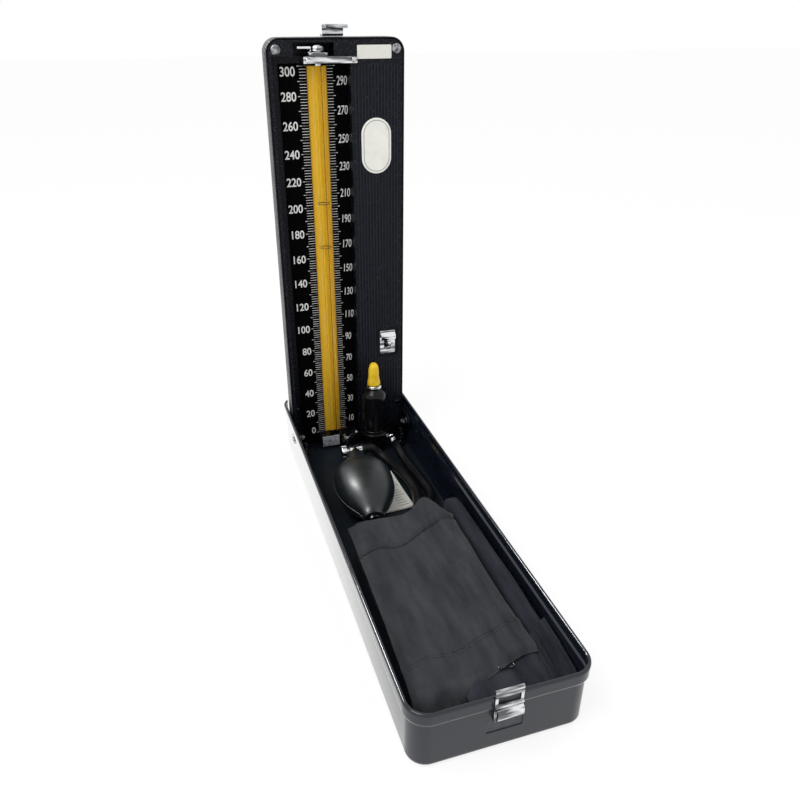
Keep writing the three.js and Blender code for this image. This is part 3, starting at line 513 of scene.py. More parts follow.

# %% [markdown]
# ## Black paints
#
# The tray is dipped in gloss enamel, with a faint orange peel. Its floor inside is duller, and greyer
# and worn in the recess behind the latch. The lid and its face panel have the coarse wrinkle paint of
# instrument cases, which sparkles where light grazes its bumps, and pale specks are painted into its
# colour as painted glints. All are nearly black, so a low specular level keeps the white room out of
# them. At a grazing angle the enamel turns into a mirror, as it does on the tray's long side, and a
# layer weight mixes that in.

# %% Black paints
PAINT_BLACK = (0.003, 0.0038, 0.0070)
enamel = finish("gloss_black_enamel", (0.007, 0.010, 0.018), 0.10, spec=0.52, rough=((26,), 0.06, 0.15),
                bumps=[((1.6, 1), 0.10, 0.05), ((9,), 0.05, 0.3)])
facing = add(enamel, "ShaderNodeLayerWeight", Blend=0.5)
grazing = add(enamel, "ShaderNodeMapRange", interpolation_type="SMOOTHSTEP",
              From_Min=0.785, From_Max=0.87, To_Max=0.90)
mirror = add(enamel, "ShaderNodeBsdfGlossy", Roughness=0.16, Color=(0.95, 0.96, 0.95, 1))
wire(enamel, (facing.outputs["Facing"], grazing.inputs["Value"]))
mix_in(enamel, grazing.outputs["Result"], mirror.outputs["BSDF"])

# Painted glints: the mottle lays sparse pale specks into the wrinkle paint's colour.
wrinkle = finish("black_wrinkle_paint", PAINT_BLACK, 0.20, spec=0.15, rough=((14, 3), 0.20, 0.32),
                 mottle=((0.9,), PAINT_BLACK, (0.040, 0.043, 0.052), (0.58, 0.72)),
                 bumps=[((1.3, 2, (1, 1, 1), "Voronoi"), 0.9, 0.28), ((0.5, 3), 0.5, 0.12)])
rib_paint = finish("rib_paint", (0.010, 0.012, 0.018), 0.34, spec=0.14,
                   mottle=((1.2, 3), (0.009, 0.011, 0.018), (0.015, 0.018, 0.027)),
                   bumps=[((0.6, 3), 0.2, 0.03)])
plate_black = finish("gloss_black_plate", (0.0025, 0.0025, 0.003), 0.07, spec=0, rough=((30, 3), 0.04, 0.12),
                     bumps=[((12, 1), 0.04, 0.2)])
floor_enamel = finish("dull_black_enamel", (0.010, 0.0145, 0.020), 0.42, spec=0.12,
                      rough=((12, 3), 0.34, 0.52), bumps=[((1.4,), 0.12, 0.05)])
panel_enamel = finish("worn_black_enamel", (0.055, 0.060, 0.070), 0.34, spec=0.25,
                      mottle=((3, 4), (0.040, 0.044, 0.052), (0.070, 0.076, 0.088)),
                      bumps=[((0.9,), 0.15, 0.05)])
moulded = finish("black_moulding", (0.004, 0.004, 0.005), 0.12, spec=0.22, rough=((8, 3), 0.08, 0.2),
                 bumps=[((3,), 0.06, 0.05)])
print("black finishes:", enamel.name, floor_enamel.name, wrinkle.name, plate_black.name, moulded.name)

# %% [markdown]
# ## Metals
#
# Chrome on small stampings mirrors a room in bright and dark patches, and an even white room would
# leave it flat, so a stretched noise paints such bright and dark patches into its colour as painted
# reflections. The catch on the lid's top has a copy of the chrome that is painted darker, as painted
# shade, because it faces the shade. Steel fasteners are duller, the stays are blackened, and the
# small plate at the scale's foot is brushed along its length.

# %% Metals
BRUSH_LINES = (0.35, 3, (14, 1, 1))
# Painted reflections: stretched bright and dark patches in the chrome's colour.
chrome = finish("chrome_with_painted_reflections", (0.70, 0.71, 0.72), 0.09, 1, rough=((2.2, 4), 0.05, 0.18),
                mottle=((4, 2, (5, 1.5, 0.7)), (0.12, 0.123, 0.13), (0.80, 0.81, 0.82), (0.42, 0.58)),
                bumps=[((1.4,), 0.10, 0.04)])
# Painted shade: a darker copy of the chrome for the catch, which faces the shade. Its patches are painted reflections
# too.
chrome_in_painted_shade = finish("chrome_in_painted_shade", (0.40, 0.41, 0.42), 0.10, 1, rough=((2.2, 4), 0.06, 0.18),
                       mottle=((3.6, 2, (5, 1.5, 0.8)), (0.02, 0.02, 0.022), (0.62, 0.63, 0.65), (0.42, 0.60)))
steel = finish("dull_steel", (0.42, 0.43, 0.44), 0.34, 1, rough=((0.8, 4), 0.25, 0.5),
               mottle=((2.5, 3), (0.10, 0.10, 0.11), (0.45, 0.45, 0.46), (0.38, 0.62)))
dark_steel = finish("blackened_steel", (0.05, 0.05, 0.055), 0.24, 1, rough=((1.5, 3), 0.16, 0.36),
                    mottle=((2.2, 3), (0.012, 0.012, 0.014), (0.16, 0.16, 0.17), (0.45, 0.7)))
brushed = finish("brushed_plate", (0.50, 0.52, 0.56), 0.4, 0.35, rough=(BRUSH_LINES, 0.3, 0.55),
                 mottle=((3.2, 4), (0.24, 0.26, 0.29), (0.62, 0.65, 0.70), (0.35, 0.6)),
                 bumps=[(BRUSH_LINES, 0.2, 0.02)])
mercury = finish("mercury", (0.78, 0.79, 0.81), 0.03, 1, bumps=[((4, 1), 0.05, 0.05)])
print("metals:", chrome.name, steel.name, dark_steel.name, brushed.name, mercury.name)

# %% [markdown]
# ## Amber, glass, paint and paper
#
# The strip behind the tube is amber plastic with streaks along its length. Its colour is painted
# brightest along the middle, just behind the tube, and darker towards both edges: a painted highlight
# for the light that the tube gathers. The tube is clear glass, which also bends the amber into bright
# and dark lines.
# The numbers are white paint, the soft cap is yellow plastic, and the plates and labels that carry
# words on the real object are bare.

# %% Amber, glass, paint and paper
STRIP = (-20, -6)
amber = finish("amber_strip", (0.62, 0.34, 0.022), 0.35, spec=0.05)
streaks = grain(amber, 2.2, 2, (1, 1, 400))
ramp = mottled(amber, streaks, (0.65, 0.36, 0.026), (0.70, 0.39, 0.026), (0, 1))
where, split = add(amber, "ShaderNodeTexCoord"), add(amber, "ShaderNodeSeparateXYZ")
across = add(amber, "ShaderNodeMapRange", clamp=True, From_Min=STRIP[0] * MM, From_Max=STRIP[1] * MM)
shifted = add(amber, "ShaderNodeMath", operation="MULTIPLY_ADD")
shifted.inputs[1].default_value = 0.22
wire(amber, (where.outputs["Object"], split.inputs["Vector"]), (split.outputs["X"], across.inputs["Value"]),
     (streaks, shifted.inputs[0]), (across.outputs["Result"], shifted.inputs[2]),
     (shifted.outputs[0], ramp.inputs["Fac"]))
# Painted highlight: these stops make the strip brightest just behind the tube and darker towards both edges.
for position, colour in ((0.30, (0.78, 0.45, 0.031)), (0.52, (0.96, 0.64, 0.060)),
                         (0.62, (0.86, 0.52, 0.037)), (0.85, (0.72, 0.40, 0.024))):
    ramp.color_ramp.elements.new(position).color = (*colour, 1)
relief(amber, (streaks, 0.10, 0.05))
amber_dark = finish("amber_notches", (0.20, 0.07, 0.006), 0.4, spec=0.3,
                    mottle=((1,), (0.16, 0.05, 0.004), (0.30, 0.11, 0.010)))

glass = finish("clear_glass", (1, 0.97, 0.86), 0.015, IOR=1.18, Specular_Tint=(0.9, 0.62, 0.12, 1),
               Transmission_Weight=1)
ring_look = finish("tube_rings", (0.05, 0.022, 0.008), 0.45,
                   mottle=((0.8,), (0.03, 0.014, 0.006), (0.08, 0.035, 0.012)))
white_paint = finish("white_scale_paint", (0.80, 0.80, 0.78), 0.5, spec=0.3,
                     mottle=((0.7,), (0.66, 0.66, 0.65), (0.84, 0.84, 0.82)))
ivory = finish("ivory_enamel", (0.84, 0.84, 0.77), 0.24, spec=0.2,
               mottle=((7, 3), (0.80, 0.80, 0.73), (0.88, 0.88, 0.82)), bumps=[((3, 1), 0.05, 0.05)])
ink = finish("grey_line", (0.09, 0.10, 0.13), 0.4, spec=0.3,
             mottle=((0.6,), (0.06, 0.07, 0.09), (0.13, 0.14, 0.17)))
yellow = finish("yellow_soft_plastic", (0.84, 0.56, 0.012), 0.34, spec=0.4,
                mottle=((6, 3), (0.74, 0.45, 0.006), (0.90, 0.64, 0.02)), bumps=[((0.5,), 0.10, 0.03)],
                Subsurface_Weight=0.15, Subsurface_Radius=(0.002, 0.0012, 0.0004), Subsurface_Scale=0.5)
paper = finish("leaflet_paper", (0.76, 0.76, 0.70), 0.8, spec=0.05,
               mottle=((0.35, 4), (0.68, 0.68, 0.62), (0.84, 0.84, 0.79)), bumps=[((0.2, 3), 0.25, 0.02)])
print("pale finishes:", amber.name, glass.name, ivory.name, yellow.name, paper.name)

# %% [markdown]
# ## Rubber and cloth
#
# The bulb is satin black rubber with a fine skin, and the hoses are the same, more polished by
# handling. The cuff is black nylon in a plain weave: two fine waves that cross, on the piece's own
# coordinates, with a soft sheen. Lighter streaks along its length are painted into its colour as
# painted highlights on its creases.

# %% Rubber and cloth
bulb_rubber = finish("satin_black_rubber", (0.007, 0.010, 0.012), 0.36, spec=0.40,
                     rough=((9, 3), 0.32, 0.42),
                     mottle=((5, 3), (0.0050, 0.0078, 0.0092), (0.0085, 0.0128, 0.0148)),
                     bumps=[((0.5, 3), 0.14, 0.03)])
hose_rubber = finish("hose_rubber", (0.005, 0.005, 0.006), 0.36, spec=0.2, rough=((12,), 0.32, 0.42),
                     bumps=[((0.6,), 0.10, 0.02)])
bladder_rubber = finish("bladder_rubber", (0.010, 0.010, 0.011), 0.5, spec=0.25,
                        mottle=((6, 3), (0.008, 0.008, 0.009), (0.018, 0.018, 0.019)),
                        bumps=[((0.8, 3), 0.2, 0.05)])
thread_look = finish("black_thread", (0.012, 0.012, 0.013), 0.6, spec=0.25,
                     bumps=[((0.2, 2, (1, 3, 1)), 0.3, 0.03)])


def weave(name, pitch, dark, light, sheen):
    """Woven cloth with pitch millimetres from thread to thread, and slow creases across the piece."""
    # Painted highlights: lighter streaks stretched along the cloth stand in for the sheen on its creases.
    cloth = finish(name, dark, 0.82, spec=0.02, mottle=((9, 5, (1, 5, 1)), dark, light, (0.34, 0.68)),
                   Sheen_Weight=sheen, Sheen_Roughness=0.45, Sheen_Tint=(0.5, 0.52, 0.55, 1))
    where, crossed = add(cloth, "ShaderNodeTexCoord"), add(cloth, "ShaderNodeMath", operation="MULTIPLY")
    for k, direction in enumerate("XY"):
        thread = add(cloth, "ShaderNodeTexWave", wave_type="BANDS", bands_direction=direction,
                     Scale=1 / (pitch * MM) / 3.1416, Distortion=0.6, Detail_Scale=1)
        wire(cloth, (where.outputs["Object"], thread.inputs["Vector"]), (thread.outputs["Fac"], crossed.inputs[k]))
    relief(cloth, ((8, 5, (1, 3.5, 1)), 0.8, 1.4), ((2.4, 3, (1, 3, 1)), 0.5, 0.5), (crossed.outputs[0], 0.5, 0.15))
    return cloth


nylon = weave("black_nylon", 0.55, (0.032, 0.0335, 0.038), (0.058, 0.0595, 0.065), 0.10)
nylon_band = weave("black_nylon_band", 0.50, (0.019, 0.0205, 0.028), (0.042, 0.0445, 0.056), 0.08)
print("soft finishes:", bulb_rubber.name, hose_rubber.name, nylon.name, bladder_rubber.name)

# %% [markdown]
# ## Three small node trees for what repeats
#
# The scale has three hundred ticks, the panel has fields of ribs, the knob has a ring of ridges and
# the cuff has long rows of stitches. A row and a ring repeat the shape that comes in, and the third
# sets beads along a line that comes in. All end in Realize Instances and Set Material, so that a plain
# mesh comes out.

# %% Trees


def copies_tree(name, sockets, layout):
    """A tree that sets copies on points. layout makes what the instancing node takes."""
    tree = bpy.data.node_groups.new(name, "GeometryNodeTree")
    for label, kind in (("Geometry", "Geometry"), *sockets, ("Material", "Material")):
        tree.interface.new_socket(label, in_out="INPUT", socket_type="NodeSocket" + kind)
    tree.interface.new_socket("Geometry", in_out="OUTPUT", socket_type="NodeSocketGeometry")
    given, result = add(tree, "NodeGroupInput").outputs, add(tree, "NodeGroupOutput")
    copies, real, painted = [add(tree, "GeometryNode" + kind)
                             for kind in ("InstanceOnPoints", "RealizeInstances", "SetMaterial")]
    wire(tree, *[(out, copies.inputs[label]) for label, out in layout(tree, given).items()],
         (copies.outputs["Instances"], real.inputs["Geometry"]),
         (real.outputs["Geometry"], painted.inputs["Geometry"]),
         (given["Material"], painted.inputs["Material"]), (painted.outputs["Geometry"], result.inputs[0]))
    return tree


def in_a_row(tree, given):
    line = add(tree, "GeometryNodeMeshLine", mode="OFFSET", count_mode="TOTAL")
    wire(tree, (given["Count"], line.inputs["Count"]), (given["Step"], line.inputs["Offset"]))
    return {"Points": line.outputs["Mesh"], "Instance": given["Geometry"]}


def round_z(tree, given):
    line = add(tree, "GeometryNodeMeshLine", mode="OFFSET", Offset=(0, 0, 0))
    index, spin = add(tree, "GeometryNodeInputIndex"), add(tree, "ShaderNodeCombineXYZ")
    part = add(tree, "ShaderNodeMath", operation="DIVIDE")
    angle = add(tree, "ShaderNodeMath", operation="MULTIPLY")
    angle.inputs[1].default_value = 2 * math.pi
    wire(tree, (given["Count"], line.inputs["Count"]), (index.outputs[0], part.inputs[0]),
         (given["Count"], part.inputs[1]), (part.outputs[0], angle.inputs[0]),
         (angle.outputs[0], spin.inputs["Z"]))
    return {"Points": line.outputs["Mesh"], "Instance": given["Geometry"], "Rotation": spin.outputs[0]}


def along_a_line(tree, given):
    line, size = add(tree, "GeometryNodeMeshToCurve"), add(tree, "ShaderNodeCombineXYZ")
    spots = add(tree, "GeometryNodeCurveToPoints", mode="LENGTH")
    bead = add(tree, "GeometryNodeMeshUVSphere", Segments=8, Rings=5, Radius=0.5)
    wire(tree, (given["Geometry"], line.inputs["Mesh"]), (line.outputs["Curve"], spots.inputs["Curve"]),
         (given["Spacing"], spots.inputs["Length"]), (given["Thread"], size.inputs["X"]),
         (given["Thread"], size.inputs["Y"]), (given["Stitch"], size.inputs["Z"]))
    return {"Points": spots.outputs["Points"], "Instance": bead.outputs["Mesh"],
            "Rotation": spots.outputs["Rotation"], "Scale": size.outputs[0]}


print("layouts: in_a_row, round_z, along_a_line")

# %% Growing copies
ROW = copies_tree("row_of_copies", [("Count", "Int"), ("Step", "Vector")], in_a_row)
RING = copies_tree("ring_of_copies", [("Count", "Int")], round_z)
STITCHES = copies_tree("stitches_on_a_line",
                       [(label, "Float") for label in ("Spacing", "Stitch", "Thread")], along_a_line)


def grow(obj, tree, angle=34, **values):
    """Runs a tree on obj and leaves a plain mesh."""
    step = obj.modifiers.new("copies", "NODES")
    step.node_group = tree
    for socket in tree.interface.items_tree:
        if socket.in_out == "INPUT" and socket.name in values:
            step[socket.identifier] = values[socket.name]
    return settle(obj, angle)


print("trees:", ROW.name, RING.name, STITCHES.name)

# %% [markdown]
# ## Tray
#
# The tray is one deep-drawn shell with a band along its rim that stands out a little, and the rim
# itself is rolled inwards into a narrow bead. It is lofted as one closed skin: up the outside, over
# the bead and down to the floor inside. The rear wall is cut low, so that the lid can swing, and a
# shallow recess is pressed in behind the latch.

# %% Tray
TRAY_SIDE, TRAY_END, TRAY_TOP, TRAY_CORNER = 53, 176, 41, 13
WALL, REAR_WALL, RECESS_Y = 2.8, 27, -173.9
PIVOT = (130, 25)


def tray_ring(z, inset):
    radius = TRAY_CORNER - min(inset, WALL)
    outline = rounded(-TRAY_SIDE + inset, -TRAY_END + inset, TRAY_SIDE - inset, TRAY_END - inset, radius, 14)
    return [(x, y, z) for x, y in outline]


tray_section = [
    (0, 4.6), (0.08, 3.9), (0.4, 3), (1, 2.2), (1.8, 1.75), (2.8, 1.6), (3.6, 1.6), (30.4, 1.6), (31.2, 1.6),
    (31.8, 1.4), (32.4, 0.75), (32.9, 0.2), (33.6, 0), (34.2, 0), (39, 0), (39.6, 0), (40.3, 0.15), (40.75, 0.5),
    (TRAY_TOP, 1), (TRAY_TOP, 1.5), (40.8, 2), (40.35, 2.35), (39.7, 2.45), (39, 2.3), (38.5, 1.8), (38, 1.3),
    (34.6, 1.2), (33.6, 1.7), (32.8, 2.5), (32.2, WALL), (31.4, WALL), (5.6, WALL), (4.6, WALL), (2.6, 3.3),
    (1.6, 4.2), (1.2, 5.4),
]
tray = shape("tray", loft([tray_ring(z, inset) for z, inset in tray_section]), 60)
rear_cut = slab_y(rounded(-48.7, REAR_WALL, 48.7, 60, (4, 4, 1, 1), 8), 163, 178)
latch_recess = slab_y(rounded(-10.5, 13, 10.5, 31.9, 1, 4), -178, RECESS_Y)
combine(tray, "DIFFERENCE", rear_cut, latch_recess)
round_edges(tray, 0.35, 2, 50)
dress(tray, enamel, "base", "enamel", "base_tray")
for look in (floor_enamel, panel_enamel):
    tray.data.materials.append(look)
for face in tray.data.polygons:
    x, y, z = face.center / MM
    if face.normal.z > 0.9 and z < 4:
        face.material_index = 1
    elif face.normal.y < -0.9 and abs(y - RECESS_Y) < 0.3 and abs(x) < 10.6:
        face.material_index = 2
print("tray faces", len(tray.data.polygons))

# %% [markdown]
# ## Lid shell and face panel
#
# The lid is drawn from thin sheet with a round back edge, and its two lugs reach down to the pivots.
# A separate panel closes its front: it holds a sunk channel for the scale, a pocket for the clip and,
# to the right of the channel, a field of fine upright ribs pressed into the sheet.

# %% Lid
LID_SIDE, LID_HEEL, LID_TOP = 49.2, 1.6, 327.5
RIM_Y, LID_DEPTH = 144, 22
FACE_Y = 144.4


def lid_ring(depth, inset):
    heel, top = max(6 - inset, 1), max(9.5 - inset, 1)
    outline = rounded(-LID_SIDE + inset, LID_HEEL + inset, LID_SIDE - inset, LID_TOP - inset,
                      (heel, heel, top, top), 12)
    return [(x, RIM_Y + depth, z) for x, z in outline]


back_round = [(0, 7), (0.1, 6), (0.45, 4.3), (1.3, 2.7), (2.3, 1.6), (3.5, 0.85), (4.8, 0.3), (6, 0)]
edge_round = [(0.5, 0), (0.16, 0.12), (0, 0.4), (0, 0.6), (0.16, 0.88), (0.5, 1)]
lid_section = [(LID_DEPTH - d, i) for d, i in back_round] + edge_round
lid_section += [(LID_DEPTH - 1 - d, i + 1) for d, i in reversed(back_round)]
lid = shape("lid", loft([lid_ring(d, i) for d, i in lid_section]), 60)


def lug(x0, x1):
    """Plate from the lid's rim round the pivot, in Y and Z."""
    turn = [math.radians(a) for a in range(-90, -271, -12)]
    round_end = [(PIVOT[0] + 7 * math.cos(a), PIVOT[1] + 7 * math.sin(a)) for a in turn]
    return slab_x([(150, 18), *round_end, (150, 32)], x0, x1)


lugs = [round_edges(shape("lug", lug(*xs)), 0.2) for xs in ((-49.2, -48), (48, 49.2))]
lid = gather("lid", lid, *lugs)
dress(lid, wrinkle, "lid", "hammertone", "lid_shell")

CHANNEL = (-45.5, 9.5, 316, 10.3)
CLIP_POCKET = (26.5, 84, 44.5, 110)
panel = shape("panel", slab_y(rounded(-47.9, 2.9, 47.9, 326.2, (4.7, 4.7, 8.2, 8.2), 8), FACE_Y, 146))
combine(panel, "UNION",
        block((CHANNEL[0] - 1.2, 145.2, 5.9), (CHANNEL[1] + 1.2, FACE_Y + CHANNEL[3] + 1.2, 317.2)),
        block((-31.7, 145.2, 314.8), (-0.8, FACE_Y + 15, 325.6)))
combine(panel, "DIFFERENCE",
        block((CHANNEL[0], 140, 1.9), (CHANNEL[1], FACE_Y + CHANNEL[3], CHANNEL[2])),
        block((-30.5, 140, CHANNEL[2] - 0.1), (-2, FACE_Y + 13.8, 324.4)),
        slab_y(rounded(*CLIP_POCKET, 1.2, 4), 140, 145.2))
round_edges(panel, 0.3, 2, 50)
dress(panel, wrinkle, "lid", "hammertone", "face_panel")
print("lid faces", len(lid.data.polygons), "panel faces", len(panel.data.polygons))

# %% Panel ribs
RIB_PITCH, RIB_WIDTH, RIB_RISE = 2.42, 1.3, 0.6
RIB_FOOT, RIB_TOP = 16, 311


def rib(x, z0, z1):
    """A half-round ridge with softened ends, standing on the panel's face."""
    arch = [(math.cos(a), math.sin(a)) for a in (math.pi * k / 6 for k in range(7))]
    rings = []
    for z, size in ((z0, 0.2), (z0 + 0.7, 0.8), (z0 + 1.5, 1), (z1 - 1.5, 1), (z1 - 0.7, 0.8), (z1, 0.2)):
        rings.append([(x + c * RIB_WIDTH / 2 * size, FACE_Y + 0.1 - (s * RIB_RISE + 0.1) * size, z)
                      for c, s in arch])
    return loft(rings)


groups = [(12.6, RIB_FOOT, RIB_TOP, 6), (27.1, RIB_FOOT, 82.5, 8), (27.1, 111.5, RIB_TOP, 8)]
ribs = []
for x, z0, z1, count in groups:
    one = shape("rib", rib(x, z0, z1))
    ribs.append(grow(one, ROW, 60, Count=count, Step=(RIB_PITCH * MM, 0, 0), Material=wrinkle))
ribs = dress(gather("panel_ribs", *ribs), rib_paint, "lid", "hammertone")
print("ribs:", sum(g[3] for g in groups), "at", RIB_PITCH, "mm")

# %% [markdown]
# ## Rivets and screws
#
# Domed rivets hold the panel at its top corners, slotted screws hold its foot and the bracket. Each
# is a turned dome, and a slot is cut across the ones that are screws.

# %% Rivets and screws


def dome(name, x, y, z, radius, rise, slotted=False):
    """A fastener's head that faces the front, with its flat back at y."""
    steps = [(radius * math.sin(a), y - rise * math.cos(a)) for a in (math.pi / 2 * k / 6 for k in range(7))]
    profile = [*steps, (radius, y), (1.4, y), (1.4, y + 1.6), (0, y + 1.6)]
    head = shape(name, turned(profile, "Y", (x, 0, z), 32))
    if slotted:
        combine(head, "DIFFERENCE",
                block((x - radius * 1.1, y - rise - 1, z - 0.28), (x + radius * 1.1, y - rise * 0.45, z + 0.28)))
    return head


rivets = [("panel_rivet_left", -42.4, 144.1, 320.2, 3.4, 1.1, False),
          ("panel_rivet_right", 43.2, 144.1, 320.2, 3.4, 1.1, False),
          ("foot_screw_left", -42.9, 154.4, 38, 2.2, 1.1, True),
          ("foot_screw_right", 44.2, 144.1, 38, 2.2, 1.1, True),
          ("bracket_screw_left", -21, 141.8, 313.6, 1.9, 1.2, True),
          ("bracket_screw_right", 11.4, 141.8, 313.6, 1.9, 1.2, True)]
for name, *place in rivets:
    look = chrome if name.startswith("bracket") else dark_steel if name.startswith("foot") else steel
    dress(dome(name.replace("_left", "_1").replace("_right", "_2"), *place), look, "lid", "steel", name)
print("fasteners on the lid:", len(rivets))

# %% [markdown]
# ## Scale
#
# The scale plate is gloss black with white ticks every 2 mmHg, longer at each ten, on both sides of
# the strip. The left side is numbered by twenties from 0 to 300 in bold figures, and the right side
# by twenties from 10 to 290 in lighter, slanted ones. Ticks come from the row tree, and figures are
# text turned into a mesh, narrowed to the shape of scale figures.

# %% Scale plate and ticks
SCALE_FACE = 153.5
ZERO_Z, TOP_Z = 13.9, 309.4
PER_MMHG = (TOP_Z - ZERO_Z) / 300

plate = bar("scale_plate_face", (-40, 153.5, 3.4), (9.2, 154.4, 311), 0.2)
dress(plate, plate_black, "lid", "scale_black", "scale_plate")


def ticks(x0, x1, thickness, every, first, count):
    tick = shape("tick", block((x0, SCALE_FACE - 0.06, -thickness / 2), (x1, SCALE_FACE + 0.05, thickness / 2)))
    move(tick, 0, 0, ZERO_Z + first * PER_MMHG)
    return grow(tick, ROW, Count=count, Step=(0, 0, every * PER_MMHG * MM), Material=white_paint)


rows = [ticks(-25.4, -20.2, 0.32, 2, 0, 151), ticks(-27, -20.2, 0.42, 10, 0, 31),
        ticks(-5.8, -1.2, 0.32, 2, 0, 151), ticks(-5.8, 0.4, 0.42, 10, 0, 31)]
dress(gather("scale_ticks", *rows), white_paint, "lid", "label")
print("ticks:", 2 * (151 + 31), "of", round(PER_MMHG, 4), "mm per mmHg")

# %% Scale numbers


def figures(text, z, x, height, squeeze, weight, slant, align):
    """One number lying on the scale plate, height millimetres tall."""
    curve = bpy.data.curves.new("figures", "FONT")
    curve.body, curve.align_x, curve.align_y = text, align, "CENTER"
    curve.size, curve.offset, curve.shear = 1, weight, slant
    curve.extrude, curve.resolution_u = 0.004, 6
    written = placed("figures", curve)
    graph = bpy.context.evaluated_depsgraph_get()
    mesh = bpy.data.meshes.new_from_object(written.evaluated_get(graph))
    bpy.data.objects.remove(written)
    top, foot = max(v.co.y for v in mesh.vertices), min(v.co.y for v in mesh.vertices)
    size, middle = height / (top - foot), (top + foot) / 2
    for v in mesh.vertices:
        flat, up, out = v.co.x * size * squeeze, (v.co.y - middle) * size, v.co.z * 10
        v.co = Vector((x + flat, SCALE_FACE - 0.05 - out, z + up)) * MM
    shade(mesh)
    return placed("figures", mesh)


END_LIFT = {0: 2.4, 300: -3.4}
numbers = [figures(str(value), ZERO_Z + value * PER_MMHG + END_LIFT.get(value, 0), *style)
           for values, *style in ((range(0, 301, 20), -28.2, 6.3, 0.86, 0.014, 0, "RIGHT"),
                                  (range(10, 300, 20), 1.1, 6.2, 0.60, 0.006, 0.10, "LEFT"))
           for value in values]
dress(gather("scale_numbers", *numbers), white_paint, "lid", "label")
print("numbers:", len(numbers))

# %% [markdown]
# ## Amber strip, glass tube and mercury
#
# The strip is a bevelled bar, and along both its edges the ticks show through as fine dark notches.
# The tube is a thick glass pipe with a narrow bore, closed off at its foot by a rubber seal. Two thin
# dark rings sit on it. At rest the mercury stands just below zero, inside the block.

# %% Strip and tube
TUBE_X, TUBE_Y = -13, 148.1
strip = bar("amber_strip", (STRIP[0], 152.6, 14.5), (STRIP[1], 153.2, 309.5), 0.2)
dress(strip, amber, "lid", "amber", "backing_strip")

notches = [move(ticks(x, x + 0.8, 0.5, 2, 2, 150), 0, -0.93, 0) for x in (STRIP[0] + 0.1, STRIP[1] - 0.9)]
dress(gather("strip_notches", *notches), amber_dark, "lid", "amber")

tube_wall = [(2, 9.6), (2.1, 9.5), (4, 9.5), (4.2, 9.7), (4.2, 309.3), (4, 309.5), (2.1, 309.5),
             (2, 309.4), (2, 9.6)]
tube = shape("glass_tube", turned(tube_wall, "Z", (TUBE_X, TUBE_Y, 0), 64))
dress(tube, glass, "lid", "glass", "gauge_tube")


def tube_ring(z):
    around = [(4.28 + 0.12 * math.cos(a), z + 0.28 * math.sin(a)) for a in (math.pi * k / 5 for k in range(11))]
    around[-1] = around[0]
    return shape("tube_ring", turned(around, "Z", (TUBE_X, TUBE_Y, 0), 64))


RING_HEIGHTS = (181.2, 214.9)
dress(gather("tube_rings", *[tube_ring(z) for z in RING_HEIGHTS]), ring_look, "lid", "rubber")
for node, look in (("mercury_column", mercury), ("mercury_charge", mercury), ("tube_foot_seal", hose_rubber)):
    keep(node, look)
print("tube", tube.dimensions.z, "m tall, rings at", RING_HEIGHTS)

# %% [markdown]
# ## Block, cock and foot plate
#
# The tube stands in a black block at the channel's foot. A chrome cock sits on its front and is
# turned by a flat lever with a curled end. Beside it is a small brushed plate, which is bare here but
# for a thin line round its edge.

# %% Block, cock and foot plate
keep("manifold_block", moulded)
foot_plate = bar("foot_plate_face", (-24.5, 142.8, 4.4), (-9.5, 143.4, 14), 0.15)
dress(foot_plate, brushed, "lid", "grey_plate", "foot_plate")


def edge_line(outline, y, width):
    """A thin painted line that follows an outline in X and Z."""
    count = len(outline)
    inner = []
    for i, (x, z) in enumerate(outline):
        before, after = Vector(outline[i - 1]), Vector(outline[(i + 1) % count])
        along = (after - before).normalized()
        inner.append((x - along.y * width, z + along.x * width))
    rings = [[(x, d, z) for x, z in ring] for ring, d in
             ((outline, y), (outline, y - 0.05), (inner, y - 0.05), (inner, y), (outline, y))]
    return loft(rings, capped=False)


plate_line = shape("foot_plate_line", edge_line(rounded(-23.8, 5.1, -10.2, 13.3, 0.8, 3), 142.8, 0.25))
dress(plate_line, ink, "lid", "grey_plate")

COCK = (-4.5, 10.4)
cock_profile = [(0, 136.9), (2.6, 136.9), (2.9, 137.2), (2.9, 138.6), (3.4, 138.9), (3.4, 141.4), (3, 141.7),
                (3, 142.6), (3.4, 142.9), (3.4, 143.4), (0, 143.4)]
dress(shape("cock_barrel", turned(cock_profile, "Y", (COCK[0], 0, COCK[1]), 40)), chrome, "lid", "chrome",
      "cock_body")

LEVER_ANGLE = math.radians(48)
lever_line = [(-2.2, 0.6), (0.5, 0.6), (4, 0.5), (8, 0.7), (11.4, 1), (13.3, 1.9), (13.9, 3.2), (13.3, 4.4),
              (12, 4.7)]
lever_half = [2.1, 2.4, 2.2, 2, 2.1, 2.2, 2.2, 2.2, 2.1]
line = smooth_line([(u * math.cos(LEVER_ANGLE), -w, u * math.sin(LEVER_ANGLE)) for u, w in lever_line], 40)
widths = [h.x for h in smooth_line([(h, i, 0) for i, h in enumerate(lever_half)], 40)]
sections = [[(a * h, b * 0.7) for a, b in circle(1, 16)] for h in widths]
across = (-math.sin(LEVER_ANGLE), 0, math.cos(LEVER_ANGLE))
lever = shape("lever_strip", swept(line, sections, across))
hub = shape("lever_hub", turned([(0, -1.9), (1.3, -1.85), (1.9, -1.6), (2.1, -1.1), (2.6, -0.9), (2.6, 0), (0, 0)],
                                "Y", (0, 0, 0), 32))
lever = move(gather("cock_lever_strip", lever, hub), COCK[0], 136.6, COCK[1])
dress(lever, chrome, "cock_lever", "chrome", "cock_lever")
print("lever reach", round(max(v.co.x for v in lever.data.vertices) * 1000 - COCK[0], 1), "mm")

# %% [markdown]
# ## Top of the tube
#
# A chrome bracket bridges the channel and grips the ferrule on the tube's top, and a low chrome cap
# with a flat tab closes it. The cap turns, so its tab is part of it.

